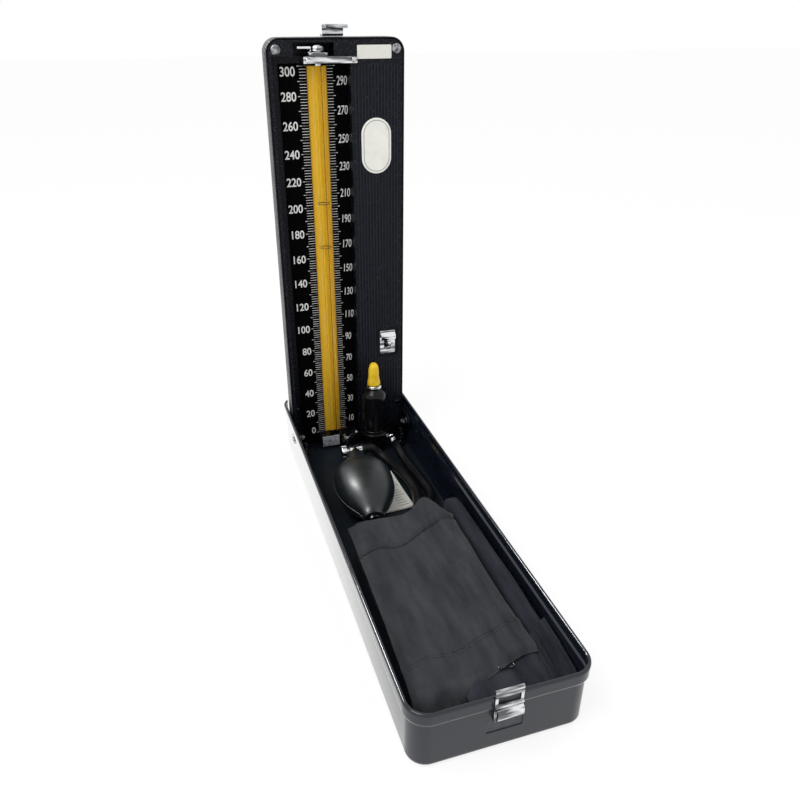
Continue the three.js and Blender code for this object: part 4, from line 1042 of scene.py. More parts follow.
# %% Bracket
bracket = shape("bracket", block((-24, 142.1, 311.4), (14, 144.1, 315.8)))
combine(bracket, "UNION", rod(6, 311.4, 315.8, "Z", (TUBE_X, TUBE_Y, 0), 40),
        block((-24, 143, 311.4), (-20, 154.4, 315.8)))
combine(bracket, "DIFFERENCE", rod(2.9, 310, 317, "Z", (TUBE_X, TUBE_Y, 0), 32))
round_edges(bracket, 0.35, 3, 50)
dress(bracket, chrome, "lid", "chrome", "top_bracket")
ferrule = [(1, 309.8), (2.6, 309.8), (2.6, 317.2), (2.3, 317.4), (1, 317.4), (1, 309.8)]
dress(shape("ferrule", turned(ferrule, "Z", (TUBE_X, TUBE_Y, 0), 40)), chrome, "lid", "chrome", "tube_ferrule")

print("bracket faces", len(bracket.data.polygons))

# %% Cap
cap_profile = [(2.9, 316.1), (8.4, 316.1), (8.6, 316.3), (8.6, 318.2), (8.3, 318.6), (6.9, 319.1), (6.3, 319.6),
               (5.6, 321.8), (4.6, 323), (3.4, 323.45), (0, 323.5), (0, 318.3), (2.9, 318.3), (2.9, 316.1)]
cap = shape("cap", turned(cap_profile, "Z", (TUBE_X, TUBE_Y, 0), 56))
tab_outline = rounded(TUBE_X - 15, TUBE_Y - 2.2, TUBE_X - 4, TUBE_Y + 2.2, (2, 0.3, 0.3, 2), 6)
tab = round_edges(shape("tab", loft([[(x, y, z) for x, y in tab_outline] for z in (320.5, 322.1)])), 0.3)
dress(gather("tube_cap_top", cap, tab), chrome, "tube_cap", "chrome", "tube_cap")
print("cap and tab made")

# %% [markdown]
# ## Reservoir
#
# The reservoir is a black turned bottle with a flange low down, a round shoulder and a short neck. It
# carries a chrome collar and the soft yellow cap, which has the shape of a teat, and a chrome elbow on
# its right takes the hose.

# %% Reservoir
RES = (19.5, 132)
bottle_profile = [(0, 3.6), (8, 3.6), (8.8, 3.9), (9.2, 4.6), (9.2, 17.2), (9.5, 17.5), (11, 17.6),
                  (11.4, 18), (11.4, 20), (11, 20.4), (10, 20.6), (10, 22.6), (9.7, 22.9), (9.7, 23.5),
                  (10, 23.8), (10, 54.4), (9.8, 55.9), (9.3, 57.2), (8.4, 58.4), (7.2, 59.5), (6, 60.4),
                  (5.7, 60.8), (5.7, 61.8), (5.5, 62), (3, 62), (3, 57.8), (7.6, 55), (7.6, 5.6),
                  (0, 5.6)]
bottle = shape("bottle", turned(bottle_profile, "Z", (*RES, 0), 64))
foot = bar("foot", (12.1, 140.2, 4.6), (26.9, 144.1, 16.5), 0.5)
duct = bar("duct", (8.3, 143.7, 4.6), (19.5, 144.1, 12.2), 0.15)
dress(gather("reservoir_bottle", bottle, foot, duct), moulded, "lid", "enamel", "reservoir_body")

collar_profile = [(3, 62.3), (6.1, 62.3), (6.4, 62.6), (6.4, 63.2), (6.15, 63.4), (6.15, 63.6), (6.4, 63.8),
                  (6.4, 64.4), (6.1, 64.7), (3, 64.7), (3, 62.3)]
dress(shape("collar", turned(collar_profile, "Z", (*RES, 0), 48)), chrome, "lid", "chrome", "reservoir_collar")

teat = [(0, 65), (5, 65), (5.35, 65.4), (5.4, 66.2), (5.35, 67.6), (4.95, 69.2), (4.6, 71.4), (4.45, 73.6),
        (4.4, 76.6), (4.2, 79.4), (3.7, 81.8), (2.8, 83.4), (1.7, 84.4), (1.2, 84.6), (0.6, 84.3), (0, 84.2)]
dress(shape("yellow_cap", turned(teat, "Z", (*RES, 0), 48)), yellow, "soft_cap", "yellow_cap", "soft_cap")

elbow = [(28.9, 130, 13), (31, 130, 13), (32.8, 129.3, 13), (33.5, 127.6, 13), (33.5, 121, 13),
         (33.5, 115, 13)]
elbow_line = smooth_line(elbow, 36)
radii = []
for p in elbow_line:
    ridge = sum(max(0, 1 - abs(p.y - y) / 0.9) for y in (118.6, 121.2, 126.4))
    radii.append(2.75 + 0.75 * min(ridge, 1))
nipple = shape("nipple", swept(elbow_line, [circle(r, 24) for r in radii], (0, 0, 1)))
dress(nipple, chrome, "lid", "chrome", "hose_nipple")
print("reservoir", bottle_profile[15], "cap top", max(h for _, h in teat), "mm")

# %% [markdown]
# ## Plates and clip on the panel
#
# The oval plate and the paper label carry words on the real object. They are left bare, with a grey
# line inside the oval's edge, as such plates have. Below them a spring clip of thin chromed sheet is
# let into its pocket, with a tongue bent out to hold a stop.

# %% Plates
OVAL = (27.6, 255.2, 11.3, 19.65)


def oval_outline(shrink, steps=96):
    """Two half circles with straight sides between them, shrunk by so many millimetres."""
    half, outline = OVAL[3] - OVAL[2], []
    for i in range(steps):
        a = 2 * math.pi * (i + 0.5) / steps
        end = math.copysign(half, math.sin(a))
        outline.append((OVAL[0] + (OVAL[2] - shrink) * math.cos(a),
                        OVAL[1] + end + (OVAL[2] - shrink) * math.sin(a)))
    return outline


oval = loft([[(x, y, z) for x, z in oval_outline(s)] for y, s in
             ((144.1, 0), (143.55, 0), (143.38, 0.12), (143.3, 0.4), (143.3, 0.9))])
dress(shape("oval_face", oval), ivory, "lid", "label", "oval_plate")
dress(shape("oval_line", edge_line(oval_outline(1.5), 143.3, 0.35)), ink, "lid", "label")
label = round_edges(shape("label_face", slab_y(rounded(14.4, 313.8, 39.4, 322.6, 0.8, 4), 143.8, 144.1)), 0.08)
dress(label, paper, "lid", "label", "blank_label")

# %% Clip
CLIP_X = 35.5
clip_plate = shape("clip_plate", slab_y(rounded(28.9, 86.4, 42.1, 107, 1, 4), 144.1, 144.9))
combine(clip_plate, "DIFFERENCE", slab_y(rounded(32.6, 90, 38.4, 103.6, 2.6, 6), 140, 146))
round_edges(clip_plate, 0.18)
bends = []
for half, thick, count, line in (
        (6.2, 0.35, 24, [(144.5, 106.2), (142.6, 105), (140.6, 103.2), (140.4, 101.4), (141.4, 99.6)]),
        (2.3, 0.3, 30, [(144.2, 104), (142.2, 102.6), (141.4, 99.4), (142, 95.4), (143.4, 92.2), (142.2, 90.4)])):
    path = smooth_line([(CLIP_X, y, z) for y, z in line], count)
    bends.append(shape("bend", swept(path, [(a * half, b * thick) for a, b in circle(1, 12)])))
dress(gather("clip_sheet", clip_plate, *bends), chrome, "lid", "chrome", "spring_clip")
print("plates and clip made")

# %% [markdown]
# ## Catch and latch
#
# The catch on the lid's end is a strip bent into a hook. On the tray's front a chrome plate has a
# window for it, a ridge below the window and a bright push button with a rolled face. The button
# slides down on its stem, against a small leaf spring.

# %% Catch


def bent_strip(name, line, half, thickness, edge):
    """A sheet strip bent along (y, z) points, half wide to each side of the middle."""
    section = [(a * half, b * thickness / 2) for a, b in ((-1, -1), (1, -1), (1, 1), (-1, 1))]
    return round_edges(shape(name, swept([(0, y, z) for y, z in line], section)), edge)


def soften(points, radius=1.2, steps=5):
    """Rounds the corners of a (y, z) line."""
    out = [Vector(points[0])]
    for before, corner, after in zip(points, points[1:], points[2:]):
        c = Vector(corner)
        a = c + (Vector(before) - c).normalized() * radius
        b = c + (Vector(after) - c).normalized() * radius
        for i in range(steps + 1):
            t = i / steps
            out.append((a * (1 - t) + c * t) * (1 - t) + (c * (1 - t) + b * t) * t)
    out.append(Vector(points[-1]))
    return [tuple(p) for p in out]


catch = bent_strip("catch_hook", soften([(162, 328.4), (154.6, 328.4), (154.6, 334.9), (141.6, 334.9),
                                         (141.6, 333.1)]), 7.5, 1.2, 0.25)
# The catch takes the copy of the chrome that is painted darker for shade.
dress(catch, chrome_in_painted_shade, "lid", "chrome", "lid_catch")

print("catch faces", len(catch.data.polygons))

# %% Latch
plate = shape("latch", block((-8, -177.1, 24.2), (8, -176.3, 46)))
combine(plate, "UNION", block((-8, -177.1, 45.2), (8, -175.7, 46)), block((-8, -177.1, 24.2), (8, -174.2, 25)),
        rod(0.75, -8, 8, "X", (0, -177.5, 35.2), 20), rod(0.55, -8, 8, "X", (0, -177.1, 42.3), 20))
combine(plate, "DIFFERENCE", slab_y(rounded(-6.4, 36.3, 6.4, 41.8, 0.6, 4), -180, -174.5),
        slab_y(rounded(-2.9, 26.4, 2.9, 31.8, 0.4, 3), -180, -174.5))
round_edges(plate, 0.2, 2, 50)
dress(plate, chrome, "base", "chrome", "latch_plate")

pad_line = soften([(-177.4, 26.8), (-179, 26.8), (-180, 28.2), (-180, 32.8), (-179, 34.2), (-177.4, 34.2)],
                  0.9)
pad = round_edges(shape("pad", slab_x(pad_line, -7.4, 7.4)), 0.4, 3, 50)
stem = shape("stem", block((-2.6, -177.8, 28.6), (2.6, -174.9, 31.4)))
dress(gather("push_button", pad, stem), chrome, "latch_button", "chrome", "latch_button")

SPRING_FOOT, SPRING_TOP, BUTTON_TRAVEL = 25.3, 28.3, 2
leaf_line = soften([(-175.15, SPRING_FOOT), (-175.75, 26.8), (-175.15, SPRING_TOP)], 0.5)
leaf_spring = bent_strip("latch_leaf_spring", leaf_line, 2.5, 0.4, 0.08)
dress(leaf_spring, steel, "base", "steel", "latch_spring")
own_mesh(leaf_spring)
print("latch made")

# %% [markdown]
# ## Pivots and stays
#
# Each pivot is a screw through the tray's wall and the lid's lug, with a washer and a hexagon nut
# inside. Below it stands a stay post with a flange, a pin and a head, and a few turns of spring wire
# on the pin.

# %% Pivots and stays
POST_X = 43.1


def helix(x, radius, z0, z1, curls, steps=20):
    return [(x + radius * math.cos(2 * math.pi * i / steps), PIVOT[0] + radius * math.sin(2 * math.pi * i / steps),
             z0 + (z1 - z0) * i / (curls * steps)) for i in range(curls * steps + 1)]


screw = [(0, 42.9), (2.4, 42.9), (2.4, 51.7), (4.2, 51.7), (4.2, 52), (3.9, 52.5), (2.8, 52.78), (0, 52.8)]
washer = [(2.7, 46.6), (4.9, 46.6), (5, 46.75), (5, 47.55), (4.9, 47.7), (2.7, 47.7), (2.7, 46.6)]
nut = [(0, 43.7), (3.6, 43.7), (4.2, 44), (4.2, 46), (3.6, 46.3), (0, 46.3)]
post = [(0, 1.5), (2.9, 1.5), (3.1, 1.7), (3.1, 6.8), (2.9, 7), (1.2, 7), (1.2, 19.3), (2.9, 19.3),
        (3.1, 19.5), (3.1, 20.2), (2.7, 20.5), (0, 20.5)]
for side, end in ((-1, "left"), (1, "right")):
    def along(profile, sides=36):
        return turned([(r, side * h) for r, h in profile], "X", (0, *PIVOT), sides)

    head = shape("screw", along(screw))
    combine(head, "DIFFERENCE", block((side * 52.4 - 1, PIVOT[0] - 5, PIVOT[1] - 0.35),
                                      (side * 52.4 + 1, PIVOT[0] + 5, PIVOT[1] + 0.35)))
    dress(gather("pivot_screw_" + end + "_head", head), chrome, "base", "chrome", "pivot_screw_" + end)
    dress(shape("washer_" + end, along(washer)), dark_steel, "base", "steel", "pivot_washer_" + end)
    bored = rod(2.7, side * 43, side * 47, "X", (0, *PIVOT), 24)
    hexagon = combine(shape("nut", along(nut, 6), 20), "DIFFERENCE", bored)
    dress(gather("nut_" + end, round_edges(hexagon, 0.15)), dark_steel, "base", "chrome", "pivot_nut_" + end)
    stay = shape("post_" + end, turned(post, "Z", (side * POST_X, PIVOT[0], 0), 36))
    dress(stay, dark_steel, "base", "chrome", "stay_post_" + end)
    coils = swept(helix(side * POST_X, 2.45, 7.9, 18.5, 3), circle(0.45, 10), (0, 0, 1))
    dress(shape("spring_" + end, coils), dark_steel, "base", "steel", "stay_spring_" + end)
print("two pivots and two stays")

# %% [markdown]
# ## Bulb and valve
#
# The bulb is a moulded rubber pear that narrows to a neck at each end, a little flattened where it
# lies. A thin mould line runs round it. The front neck holds a small steel inlet valve, and behind
# the rear neck a chrome valve lies across, with a knurled release screw on its left.

# %% Bulb
BULB_X, BULB_REAR, BULB_AXIS_Z = -6.6, 98.5, 18.2
BULB_RADIUS, BULB_LENGTH, BULB_FLAT = 23, 91, 0.775
BULB_TURN, BULB_TILT = 6.5, 2
pear = [(0.34, 0), (0.34, 0.10), (0.345, 0.15), (0.43, 0.19), (0.71, 0.235), (0.9, 0.3), (0.985, 0.38), (1, 0.46),
        (0.98, 0.55), (0.92, 0.64), (0.81, 0.73), (0.66, 0.81), (0.51, 0.875), (0.39, 0.93), (0.345, 0.97), (0.34, 1)]


def in_bulb_frame(obj):
    """From the bulb's own axis, which runs forward from its rear face, to its place in the tray."""
    obj.data.transform(Matrix.Translation(Vector((BULB_X, BULB_REAR, BULB_AXIS_Z)) * MM) @ turn(-BULB_TURN, "Z")
                       @ turn(-BULB_TILT, "X") @ Matrix.Diagonal((1, 1, BULB_FLAT, 1)) @ turn(90, "X"))
    return obj


skin = [(p.x, p.y) for p in smooth_line([(r * BULB_RADIUS, h * BULB_LENGTH, 0) for r, h in pear], 70)]
rear_lip = [(0, 0.5), (5.6, 0.5), (6.2, 0), (7.4, 0)]
front_lip = [(6.9, BULB_LENGTH), (4.6, BULB_LENGTH - 0.1), (4.3, BULB_LENGTH - 0.6), (0, BULB_LENGTH - 0.6)]
bulb = in_bulb_frame(shape("rubber_bulb", turned(rear_lip + skin + front_lip, "Z", (0, 0, 0), 96)))
dress(bulb, bulb_rubber, "base", "rubber", "inflation_bulb")

seam_points = [(r + 0.02, 0, h) for r, h in skin[4:-3]]
seams = [shape("seam", swept([(side * x, y, z) for x, y, z in seam_points], circle(0.16, 6), (0, 1, 0)))
         for side in (-1, 1)]
dress(in_bulb_frame(gather("bulb_mould_line", *seams)), bulb_rubber, "base", "rubber")

inlet = [(1.2, 91.3), (5, 91.3), (5.2, 91.5), (5.2, 92.4), (5, 92.7), (4.6, 92.9), (4.5, 93.2), (3.4, 93.2),
         (3.2, 92.8), (1.2, 92.8), (1.2, 91.3)]
valve_end = in_bulb_frame(shape("inlet_valve", turned(inlet, "Z", (0, 0, 0), 48)))
dress(valve_end, dark_steel, "base", "steel", "bulb_inlet_valve")

# %% Valve
VALVE_Y, VALVE_Z = 111, 16
barrel_profile = [(0, -8.8), (3.9, -8.8), (4.2, -8.5), (4.2, -7.3), (3.8, -7), (3.8, -1.6), (4.2, -1.3),
                  (4.2, 0.9), (3.7, 1.2), (3.7, 1.6), (4, 1.9), (0, 1.9)]
barrel = shape("barrel", turned(barrel_profile, "X", (0, VALVE_Y, VALVE_Z), 48))
stub = shape("stub", turned([(0, 99.6), (3.8, 99.6), (3.8, 104), (4.3, 104.4), (4.3, 105.8), (3.6, 106.2),
                             (3.6, 111), (0, 111)], "Y", (-4.4, 0, VALVE_Z), 48))
dress(gather("valve_barrel", barrel, stub), chrome, "base", "chrome", "valve_body")

knob_profile = [(0, -16.1), (3.4, -16.1), (4.2, -15.7), (4.6, -15.1), (4.6, -11.3), (4.2, -10.9), (3, -10.6),
                (3, -9.1), (0, -9.1)]
knob = shape("knob", turned(knob_profile, "X", (0, 0, 0), 48))
ridge_bar = shape("ridge", loft([[(x, y, z) for x, y in ((4.45, -0.28), (5, -0.1), (5, 0.1), (4.45, 0.28))]
                                 for z in (-15.2, -11.2)]))
ridges = grow(ridge_bar, RING, Count=28, Material=chrome)
for v in ridges.data.vertices:
    v.co = Vector((v.co.z, v.co.x, v.co.y))
knob = move(gather("release_knob", knob, ridges), 0, VALVE_Y, VALVE_Z)
dress(knob, chrome, "release_screw", "chrome", "release_screw")
sleeve = [(1.5, 2.2), (4.2, 2.2), (4.4, 2.5), (4.4, 5.3), (4.2, 5.6), (1.5, 5.6), (1.5, 2.2)]
dress(shape("hose_sleeve", turned(sleeve, "X", (0, VALVE_Y, VALVE_Z), 40)), hose_rubber, "base", "rubber",
      "valve_ferrule")
print("bulb", [round(d * 1000, 1) for d in bulb.dimensions], "mm")

# %% [markdown]
# ## Hoses
#
# Two rubber hoses run beside the bulb into the cuff: one from the valve, one from the reservoir's
# elbow. Both are seen from end to end, so their length is the length of the route. The one from the
# reservoir stays with the tray: bent across the hinge it would go down through the tray's floor, so
# the elbow on the lid draws out of it as the lid is shut.

# %% Hoses
HOSE_RADIUS = 3.75
CONNECTOR_Z, HOSE_END = 12.55, 15.6
gauge_route = [(33.5, 114.7, 13), (33.5, 109, 13), (35.6, 96, 8.2), (39.2, 70, 6.4), (39.6, 44, 7.6),
               (30.6, HOSE_END + 7, CONNECTOR_Z), (30.6, HOSE_END, CONNECTOR_Z)]
bulb_route = [(5.9, 111, 16), (9.9, 111, 16), (17.4, 108, 9), (22.8, 99, 6.5), (27.8, 78, 6.5), (29.4, 52, 7),
              (22.3, HOSE_END + 7, CONNECTOR_Z), (22.3, HOSE_END, CONNECTOR_Z)]
connector = [(0, 5.3), (2.6, 5.3), (3, 5.6), (3, 8.4), (3.2, 8.7), (3.2, 10.4), (2.9, 10.7), (2.9, 11.4),
             (3.2, 11.7), (3.2, 13.8), (2.8, 14.2), (2.8, 15), (0, 15)]


def hose(name, route, node):
    """The hose, its path in metres and the path's length."""
    line = smooth_line(route, 72)
    made = shape(name, swept(line, circle(HOSE_RADIUS, 28), (0, 0, 1)))
    metres = [tuple(p * MM) for p in line]
    length = sum((Vector(a) - Vector(b)).length for a, b in zip(metres, metres[1:]))
    return dress(made, hose_rubber, "base", "rubber", node), metres, length


for name, route, node, end in (("gauge_hose_tube", gauge_route, "gauge_hose", "gauge_connector"),
                               ("bulb_hose_tube", bulb_route, "bulb_hose", "bulb_connector")):
    tube_piece, path, length = hose(name, route, node)
    fitting = shape(end + "_fitting", turned(connector, "Y", (route[-1][0], 0, CONNECTOR_Z), 40))
    dress(fitting, chrome, "base", "chrome", end)
    print(name, "length", round(length, 4), "m")

# %% [markdown]
# ## Cuff
#
# The cuff lies folded: a lower fold, the rubber bladder and an upper fold, with the rest rolled up
# along the tray's right wall. Each fold starts as a slightly small rounded slab. It is remeshed, blown
# up a little as cloth and capped, so that it crowns like stuffed fabric. Folds and dents are then
# pressed in with slow waves, before the cover and the roll's loose end are laid on.

# %% Swelling and pressing


def slab(name, lo, hi, corner, edge):
    """A rounded slab between two corners."""
    rings = []
    for z, inset in ((lo[2], edge), (lo[2] + edge * 0.3, edge * 0.3), (lo[2] + edge, 0), (hi[2] - edge, 0),
                     (hi[2] - edge * 0.3, edge * 0.3), (hi[2], edge)):
        outline = rounded(lo[0] + inset, lo[1] + inset, hi[0] - inset, hi[1] - inset, corner, 5)
        rings.append([(x, y, z) for x, y in outline])
    return shape(name, loft(rings))


def swell(obj, voxel, cap, pressure=4):
    """Remeshes a slab, blows it up as cloth and keeps each point within cap millimetres of its start."""
    again = obj.modifiers.new("again", "REMESH")
    again.mode, again.voxel_size = "VOXEL", voxel * MM
    settle(obj, 80)
    start = [v.co.copy() for v in obj.data.vertices]
    cloth = obj.modifiers.new("swell", "CLOTH")
    cloth.settings.quality = 5
    cloth.settings.use_pressure = True
    cloth.settings.uniform_pressure_force = pressure
    cloth.settings.effector_weights.gravity = 0
    cloth.point_cache.frame_start, cloth.point_cache.frame_end = 1, 20
    for step in range(1, 21):
        scene.frame_set(step)
    settle(obj, 80)
    scene.frame_set(1)
    for v, was in zip(obj.data.vertices, start):
        shift = v.co - was
        if shift.length > cap * MM:
            v.co = was + shift.normalized() * cap * MM
    fine = obj.modifiers.new("fine", "SUBSURF")
    fine.levels = fine.render_levels = 1
    return settle(obj, 80)


def clamp(x, low, high):
    return min(max(x, low), high)


def press(obj, lo, hi, wave):
    """Moves each point by wave(x, y, z) millimetres and keeps it between two corners."""
    for v in obj.data.vertices:
        x, y, z = v.co / MM
        moved = Vector((x, y, z)) + Vector(wave(x, y, z))
        v.co = Vector([clamp(*where) for where in zip(moved, lo, hi)]) * MM
    shade(obj.data, 80)


def smoothstep(a, b, x):
    """0 below a and 1 above b, or the other way about when a is the larger."""
    t = clamp((x - a) / (b - a), 0, 1)
    return t * t * (3 - 2 * t)


def peak(x, width):
    """1 at zero, fading over width to both sides."""
    return math.exp(-(x / width) ** 2)


def slow(x, y, z, size, seed):
    """Smooth noise from -1 to 1 that changes over size millimetres."""
    return noise.noise(Vector((x / size + seed * 7.3, y / size - seed * 3.1, z / size)))


print("helpers: slab, swell, press, smoothstep, peak, slow")

# %% Padded folds
UPPER_LO, UPPER_HI = (-40, -158, 15.2), (33.5, 5, 30.4)
upper = swell(slab("upper_fold", (-38.6, -156.4, 16.6), (32.2, 3.6, 28.6), 6, 4.2), 4.5, 2)


def upper_wave(x, y, z):
    top = max(0, (z - 22) / 8)
    ripple = 0.55 * math.sin(x / 7.5 + 0.8 * slow(x, y, 0, 40, 1)) + 0.9 * slow(x, y, 0, 26, 2)
    droop = -1.6 * max(0, (-y - 132) / 26) - 1.2 * max(0, (-x - 28) / 12)
    return 0.4 * slow(x, y, z, 15, 3), 0.4 * slow(y, x, z, 15, 4), top * (ripple + droop)


press(upper, UPPER_LO, UPPER_HI, upper_wave)
dress(upper, nylon_band, "base", "cloth", "cuff_upper_fold")

LOWER_LO, LOWER_HI = (-40, -158, 1.5), (33.5, 5, 9.9)
lower = swell(slab("lower_fold", (-38.8, -156.8, 2.4), (32.3, 3.8, 9), 6, 3), 4.5, 1)
press(lower, LOWER_LO, LOWER_HI,
      lambda x, y, z: (0.8 * slow(x, y, z, 14, 5), 0.8 * slow(y, x, z, 14, 6), 0.5 * slow(x, y, z, 20, 7)))
dress(lower, nylon_band, "base", "cloth", "cuff_lower_fold")

bladder = swell(slab("bladder", (-33.4, -143.4, 10.5), (32.9, 4.4, 14.6), 6, 1.6), 4, 0.5)
press(bladder, (-34, -144, 10.2), (33.5, 5, 14.9), lambda x, y, z: (0.5 * slow(x, y, z, 12, 8), 0, 0))
dress(bladder, bladder_rubber, "base", "rubber", "cuff_bladder")
print("folds:", [len(o.data.polygons) for o in (upper, lower, bladder)], "faces")

# %% [markdown]
# ## Rolled part of the cuff
#
# The rest of the cuff is rolled up and stands on edge against the right wall. Its section is a flat
# coil, so both ends show the layers. The coil is drawn as one closed outline, out along the spiral and
# back a cloth's thickness inside it, and carried from front to rear with a slow twist and sag.

# %% Roll
ROLL_MID, ROLL_HALF = (41.6, 16.4), (7.2, 14.6)
ROLL_FRONT, ROLL_LENGTH, ROLL_STEPS = -159.6, 168.2, 120


def coil(turns, thickness, steps=26):
    """Closed outline in X and Z of a flat coil of cloth about the roll's middle."""
    outer, inner = [], []
    total = int(turns * steps)
    for i in range(total + 1):
        angle = 2 * math.pi * i / steps - math.pi / 2
        shrink = 1 - 0.66 * i / total
        for k, line in ((0, outer), (thickness, inner)):
            a, b = ROLL_HALF[0] * shrink - k, ROLL_HALF[1] * (0.35 + 0.65 * shrink) - k
            c, s = math.cos(angle), math.sin(angle)
            line.append((a * math.copysign(abs(c) ** 0.5, c), b * math.copysign(abs(s) ** 0.5, s)))
    return outer + inner[::-1]


section = coil(2.6, 1.9)
rings = []
for i in range(ROLL_STEPS + 1):
    y = ROLL_FRONT + ROLL_LENGTH * i / ROLL_STEPS
    near_end = min(i, ROLL_STEPS - i) / ROLL_STEPS * 168
    squeeze = 0.90 + 0.10 * min(1, near_end / 7) ** 0.5
    squeeze -= 0.055 * peak(y + 124, 1.5) + 0.02 * smoothstep(-126, -118, y)
    ring = []
    for a, b in section:
        z = ROLL_MID[1] + b * squeeze + 0.7 * slow(a, y, 0, 34, 11) * (1 + b / 16)
        x = ROLL_MID[0] + a * squeeze + 0.5 * slow(b, y, 3, 26, 12)
        if y > -8 and b > 0:
            z -= 0.05 * (y + 8) * b / 10
        if y < -124 and b > 0:
            z -= 0.11 * (-124 - y) * b / 10
        ring.append((clamp(x, 34.3, 48.9), y, clamp(z, 1.6, 31.4)))
    rings.append(ring)
roll = shape("cuff_roll_cloth", loft(rings), 70)
dress(roll, nylon_band, "base", "cloth", "cuff_roll")
print("roll faces", len(roll.data.polygons))

# %% [markdown]
# ## Cover of the cuff
#
# Over the upper fold lies the cuff's outer cloth, a thin sheet that follows the fold beneath. Its rear
# edge is turned up near the right corner, the left edge and the left half of the front hang over the
# fold, and the front right corner lifts a little. Two seams cross it, each with a groove, a step and
# some puckering. `sheet` drops a grid of points onto what lies below and gives it a thickness.

# %% Sheets that lie on something
upper_tree = BVHTree.FromObject(upper, bpy.context.evaluated_depsgraph_get())


def sheet(name, point, across, along, thickness, angle=80):
    """A sheet on the grid point(u, v), with u and v from 0 to 1, and the area of one face of it."""
    points = [Vector(point(i / across, j / along)) for j in range(along + 1) for i in range(across + 1)]
    first = [j * (across + 1) + i for j in range(along) for i in range(across)]
    faces = [(k, k + 1, k + across + 2, k + across + 1) for k in first]
    area = sum((points[a] - points[b]).cross(points[c] - points[b]).length for a, b, c, d in faces) * MM * MM
    made = shape(name, (points, faces), 80)
    for face in made.data.polygons:
        if face.normal.z < 0:
            face.flip()
    wall = made.modifiers.new("thickness", "SOLIDIFY")
    wall.thickness, wall.offset = thickness * MM, 1
    return settle(made, angle), area


def height_on(tree, x, y, missed):
    """Height where a ray straight down at (x, y) meets a piece."""
    hit = tree.ray_cast(Vector((x, y, 60)) * MM, Vector((0, 0, -1)))[0]
    return missed if hit is None else hit.z / MM


def top_of_fold(x, y):
    return height_on(upper_tree, clamp(x, -32.5, 26.5), clamp(y, -149.5, -2.5), 28)


print("helpers: sheet, height_on, top_of_fold")

# %% Cover sheet
COVER_LEFT, COVER_RIGHT, COVER_WIDTH = -40.6, 33.2, 0.0738


def rear_edge(u):
    return -7.5 + 3.0 * u + 5.5 * peak(u - 0.78, 0.11) - 10.0 * smoothstep(0.83, 1, u)


def front_edge(u):
    """Y of the front edge: it hangs over the fold on the left and runs back to the right corner."""
    return -166.0 + 10.5 * smoothstep(0.34, 0.50, u) + 10.0 * smoothstep(0.45, 1, u)


def rear_seam(u):
    """Y of the seam in front of the rear band, in millimetres."""
    return -38.0 + 2.5 * u + 17.5 * smoothstep(0.35, 1, u) + 0.8 * math.sin(11 * u)


def front_seam(u):
    return -134.5 + 5.0 * u + 11.0 * smoothstep(0.5, 1, u) + 0.6 * math.sin(13 * u)


def cover_point(u, v):
    left = COVER_LEFT - 4.5 * (1 - v) ** 2
    x = left + (COVER_RIGHT - left) * u
    y = front_edge(u) + (rear_edge(u) - front_edge(u)) * v
    z = top_of_fold(x, y) + 0.6
    band, front = y - rear_seam(u), y - front_seam(u)
    corner = peak(u - 0.78, 0.13) * smoothstep(0.82, 1, v)
    z += 7.5 * corner + 2.4 * smoothstep(0.35, 0.80, u) * smoothstep(0.13, 0, v)
    z += 1.0 * smoothstep(0, 2, band) - 1.2 * peak(band, 0.9)
    z += 0.6 * smoothstep(2, 0, front) - 1.1 * peak(front, 0.9)
    pucker = peak(band, 7) + peak(front, 7)
    z += 0.28 * pucker * math.sin(x * 1.15 + 3 * slow(x, y, 0, 30, 25))
    middle = smoothstep(0.02, 0.2, v) * (1 - smoothstep(0.75, 0.95, v))
    z += 0.8 * middle * math.sin(x / 4.6 + 0.004 * y + 1.3 + 1.6 * slow(x, y, 0, 55, 24))
    z += 1.3 * slow(x, y / 2, 0, 15, 21) * (1 - corner) + 0.5 * slow(x, y, 0, 6, 22)
    z -= 1.2 * (1 - smoothstep(0, 0.10, u)) ** 2 + 1.5 * (1 - smoothstep(0, 0.03, v))
    z -= 0.115 * max(0, -152.5 - y) ** 2
    z -= 0.8 * smoothstep(0.90, 1, u) ** 2 * (1 - corner)
    return x, y, clamp(z, 3, 38)


cover, area = sheet("cuff_cover", cover_point, 96, 320, 0.7)
dress(cover, nylon, "base", "cloth")

# %% [markdown]
# ## The roll's loose end
#
# At the front the end of the wrapped cloth comes off the roll and passes under the cover. Its height
# at each point passes slowly from that of the fold to that of the roll, each found by a ray straight
# down, and is smoothed over nine points.

# %% Front flap of the roll
roll_tree = BVHTree.FromObject(roll, bpy.context.evaluated_depsgraph_get())
FLAP_LEFT, FLAP_RIGHT, FLAP_WIDTH = -16, 49.3, 0.0653
CORNER_AT, CORNER_RADIUS = (39.6, -162.8), 9.6


def flap_rear(x):
    """Y of the flap's rear edge: under the cover on the left, a seam across the roll on the right."""
    hidden = front_edge(clamp((x + 45) / 78, 0, 1)) + 5
    seam = -131.0 + (x - 36) * 0.68
    across = smoothstep(31, 36, x)
    return hidden * (1 - across) + seam * across


def flap_front(x):
    """Y of the front edge, which follows the tray's wall and its round corner."""
    beyond = max(0, x - CORNER_AT[0])
    return CORNER_AT[1] - math.sqrt(max(0, CORNER_RADIUS ** 2 - beyond ** 2))


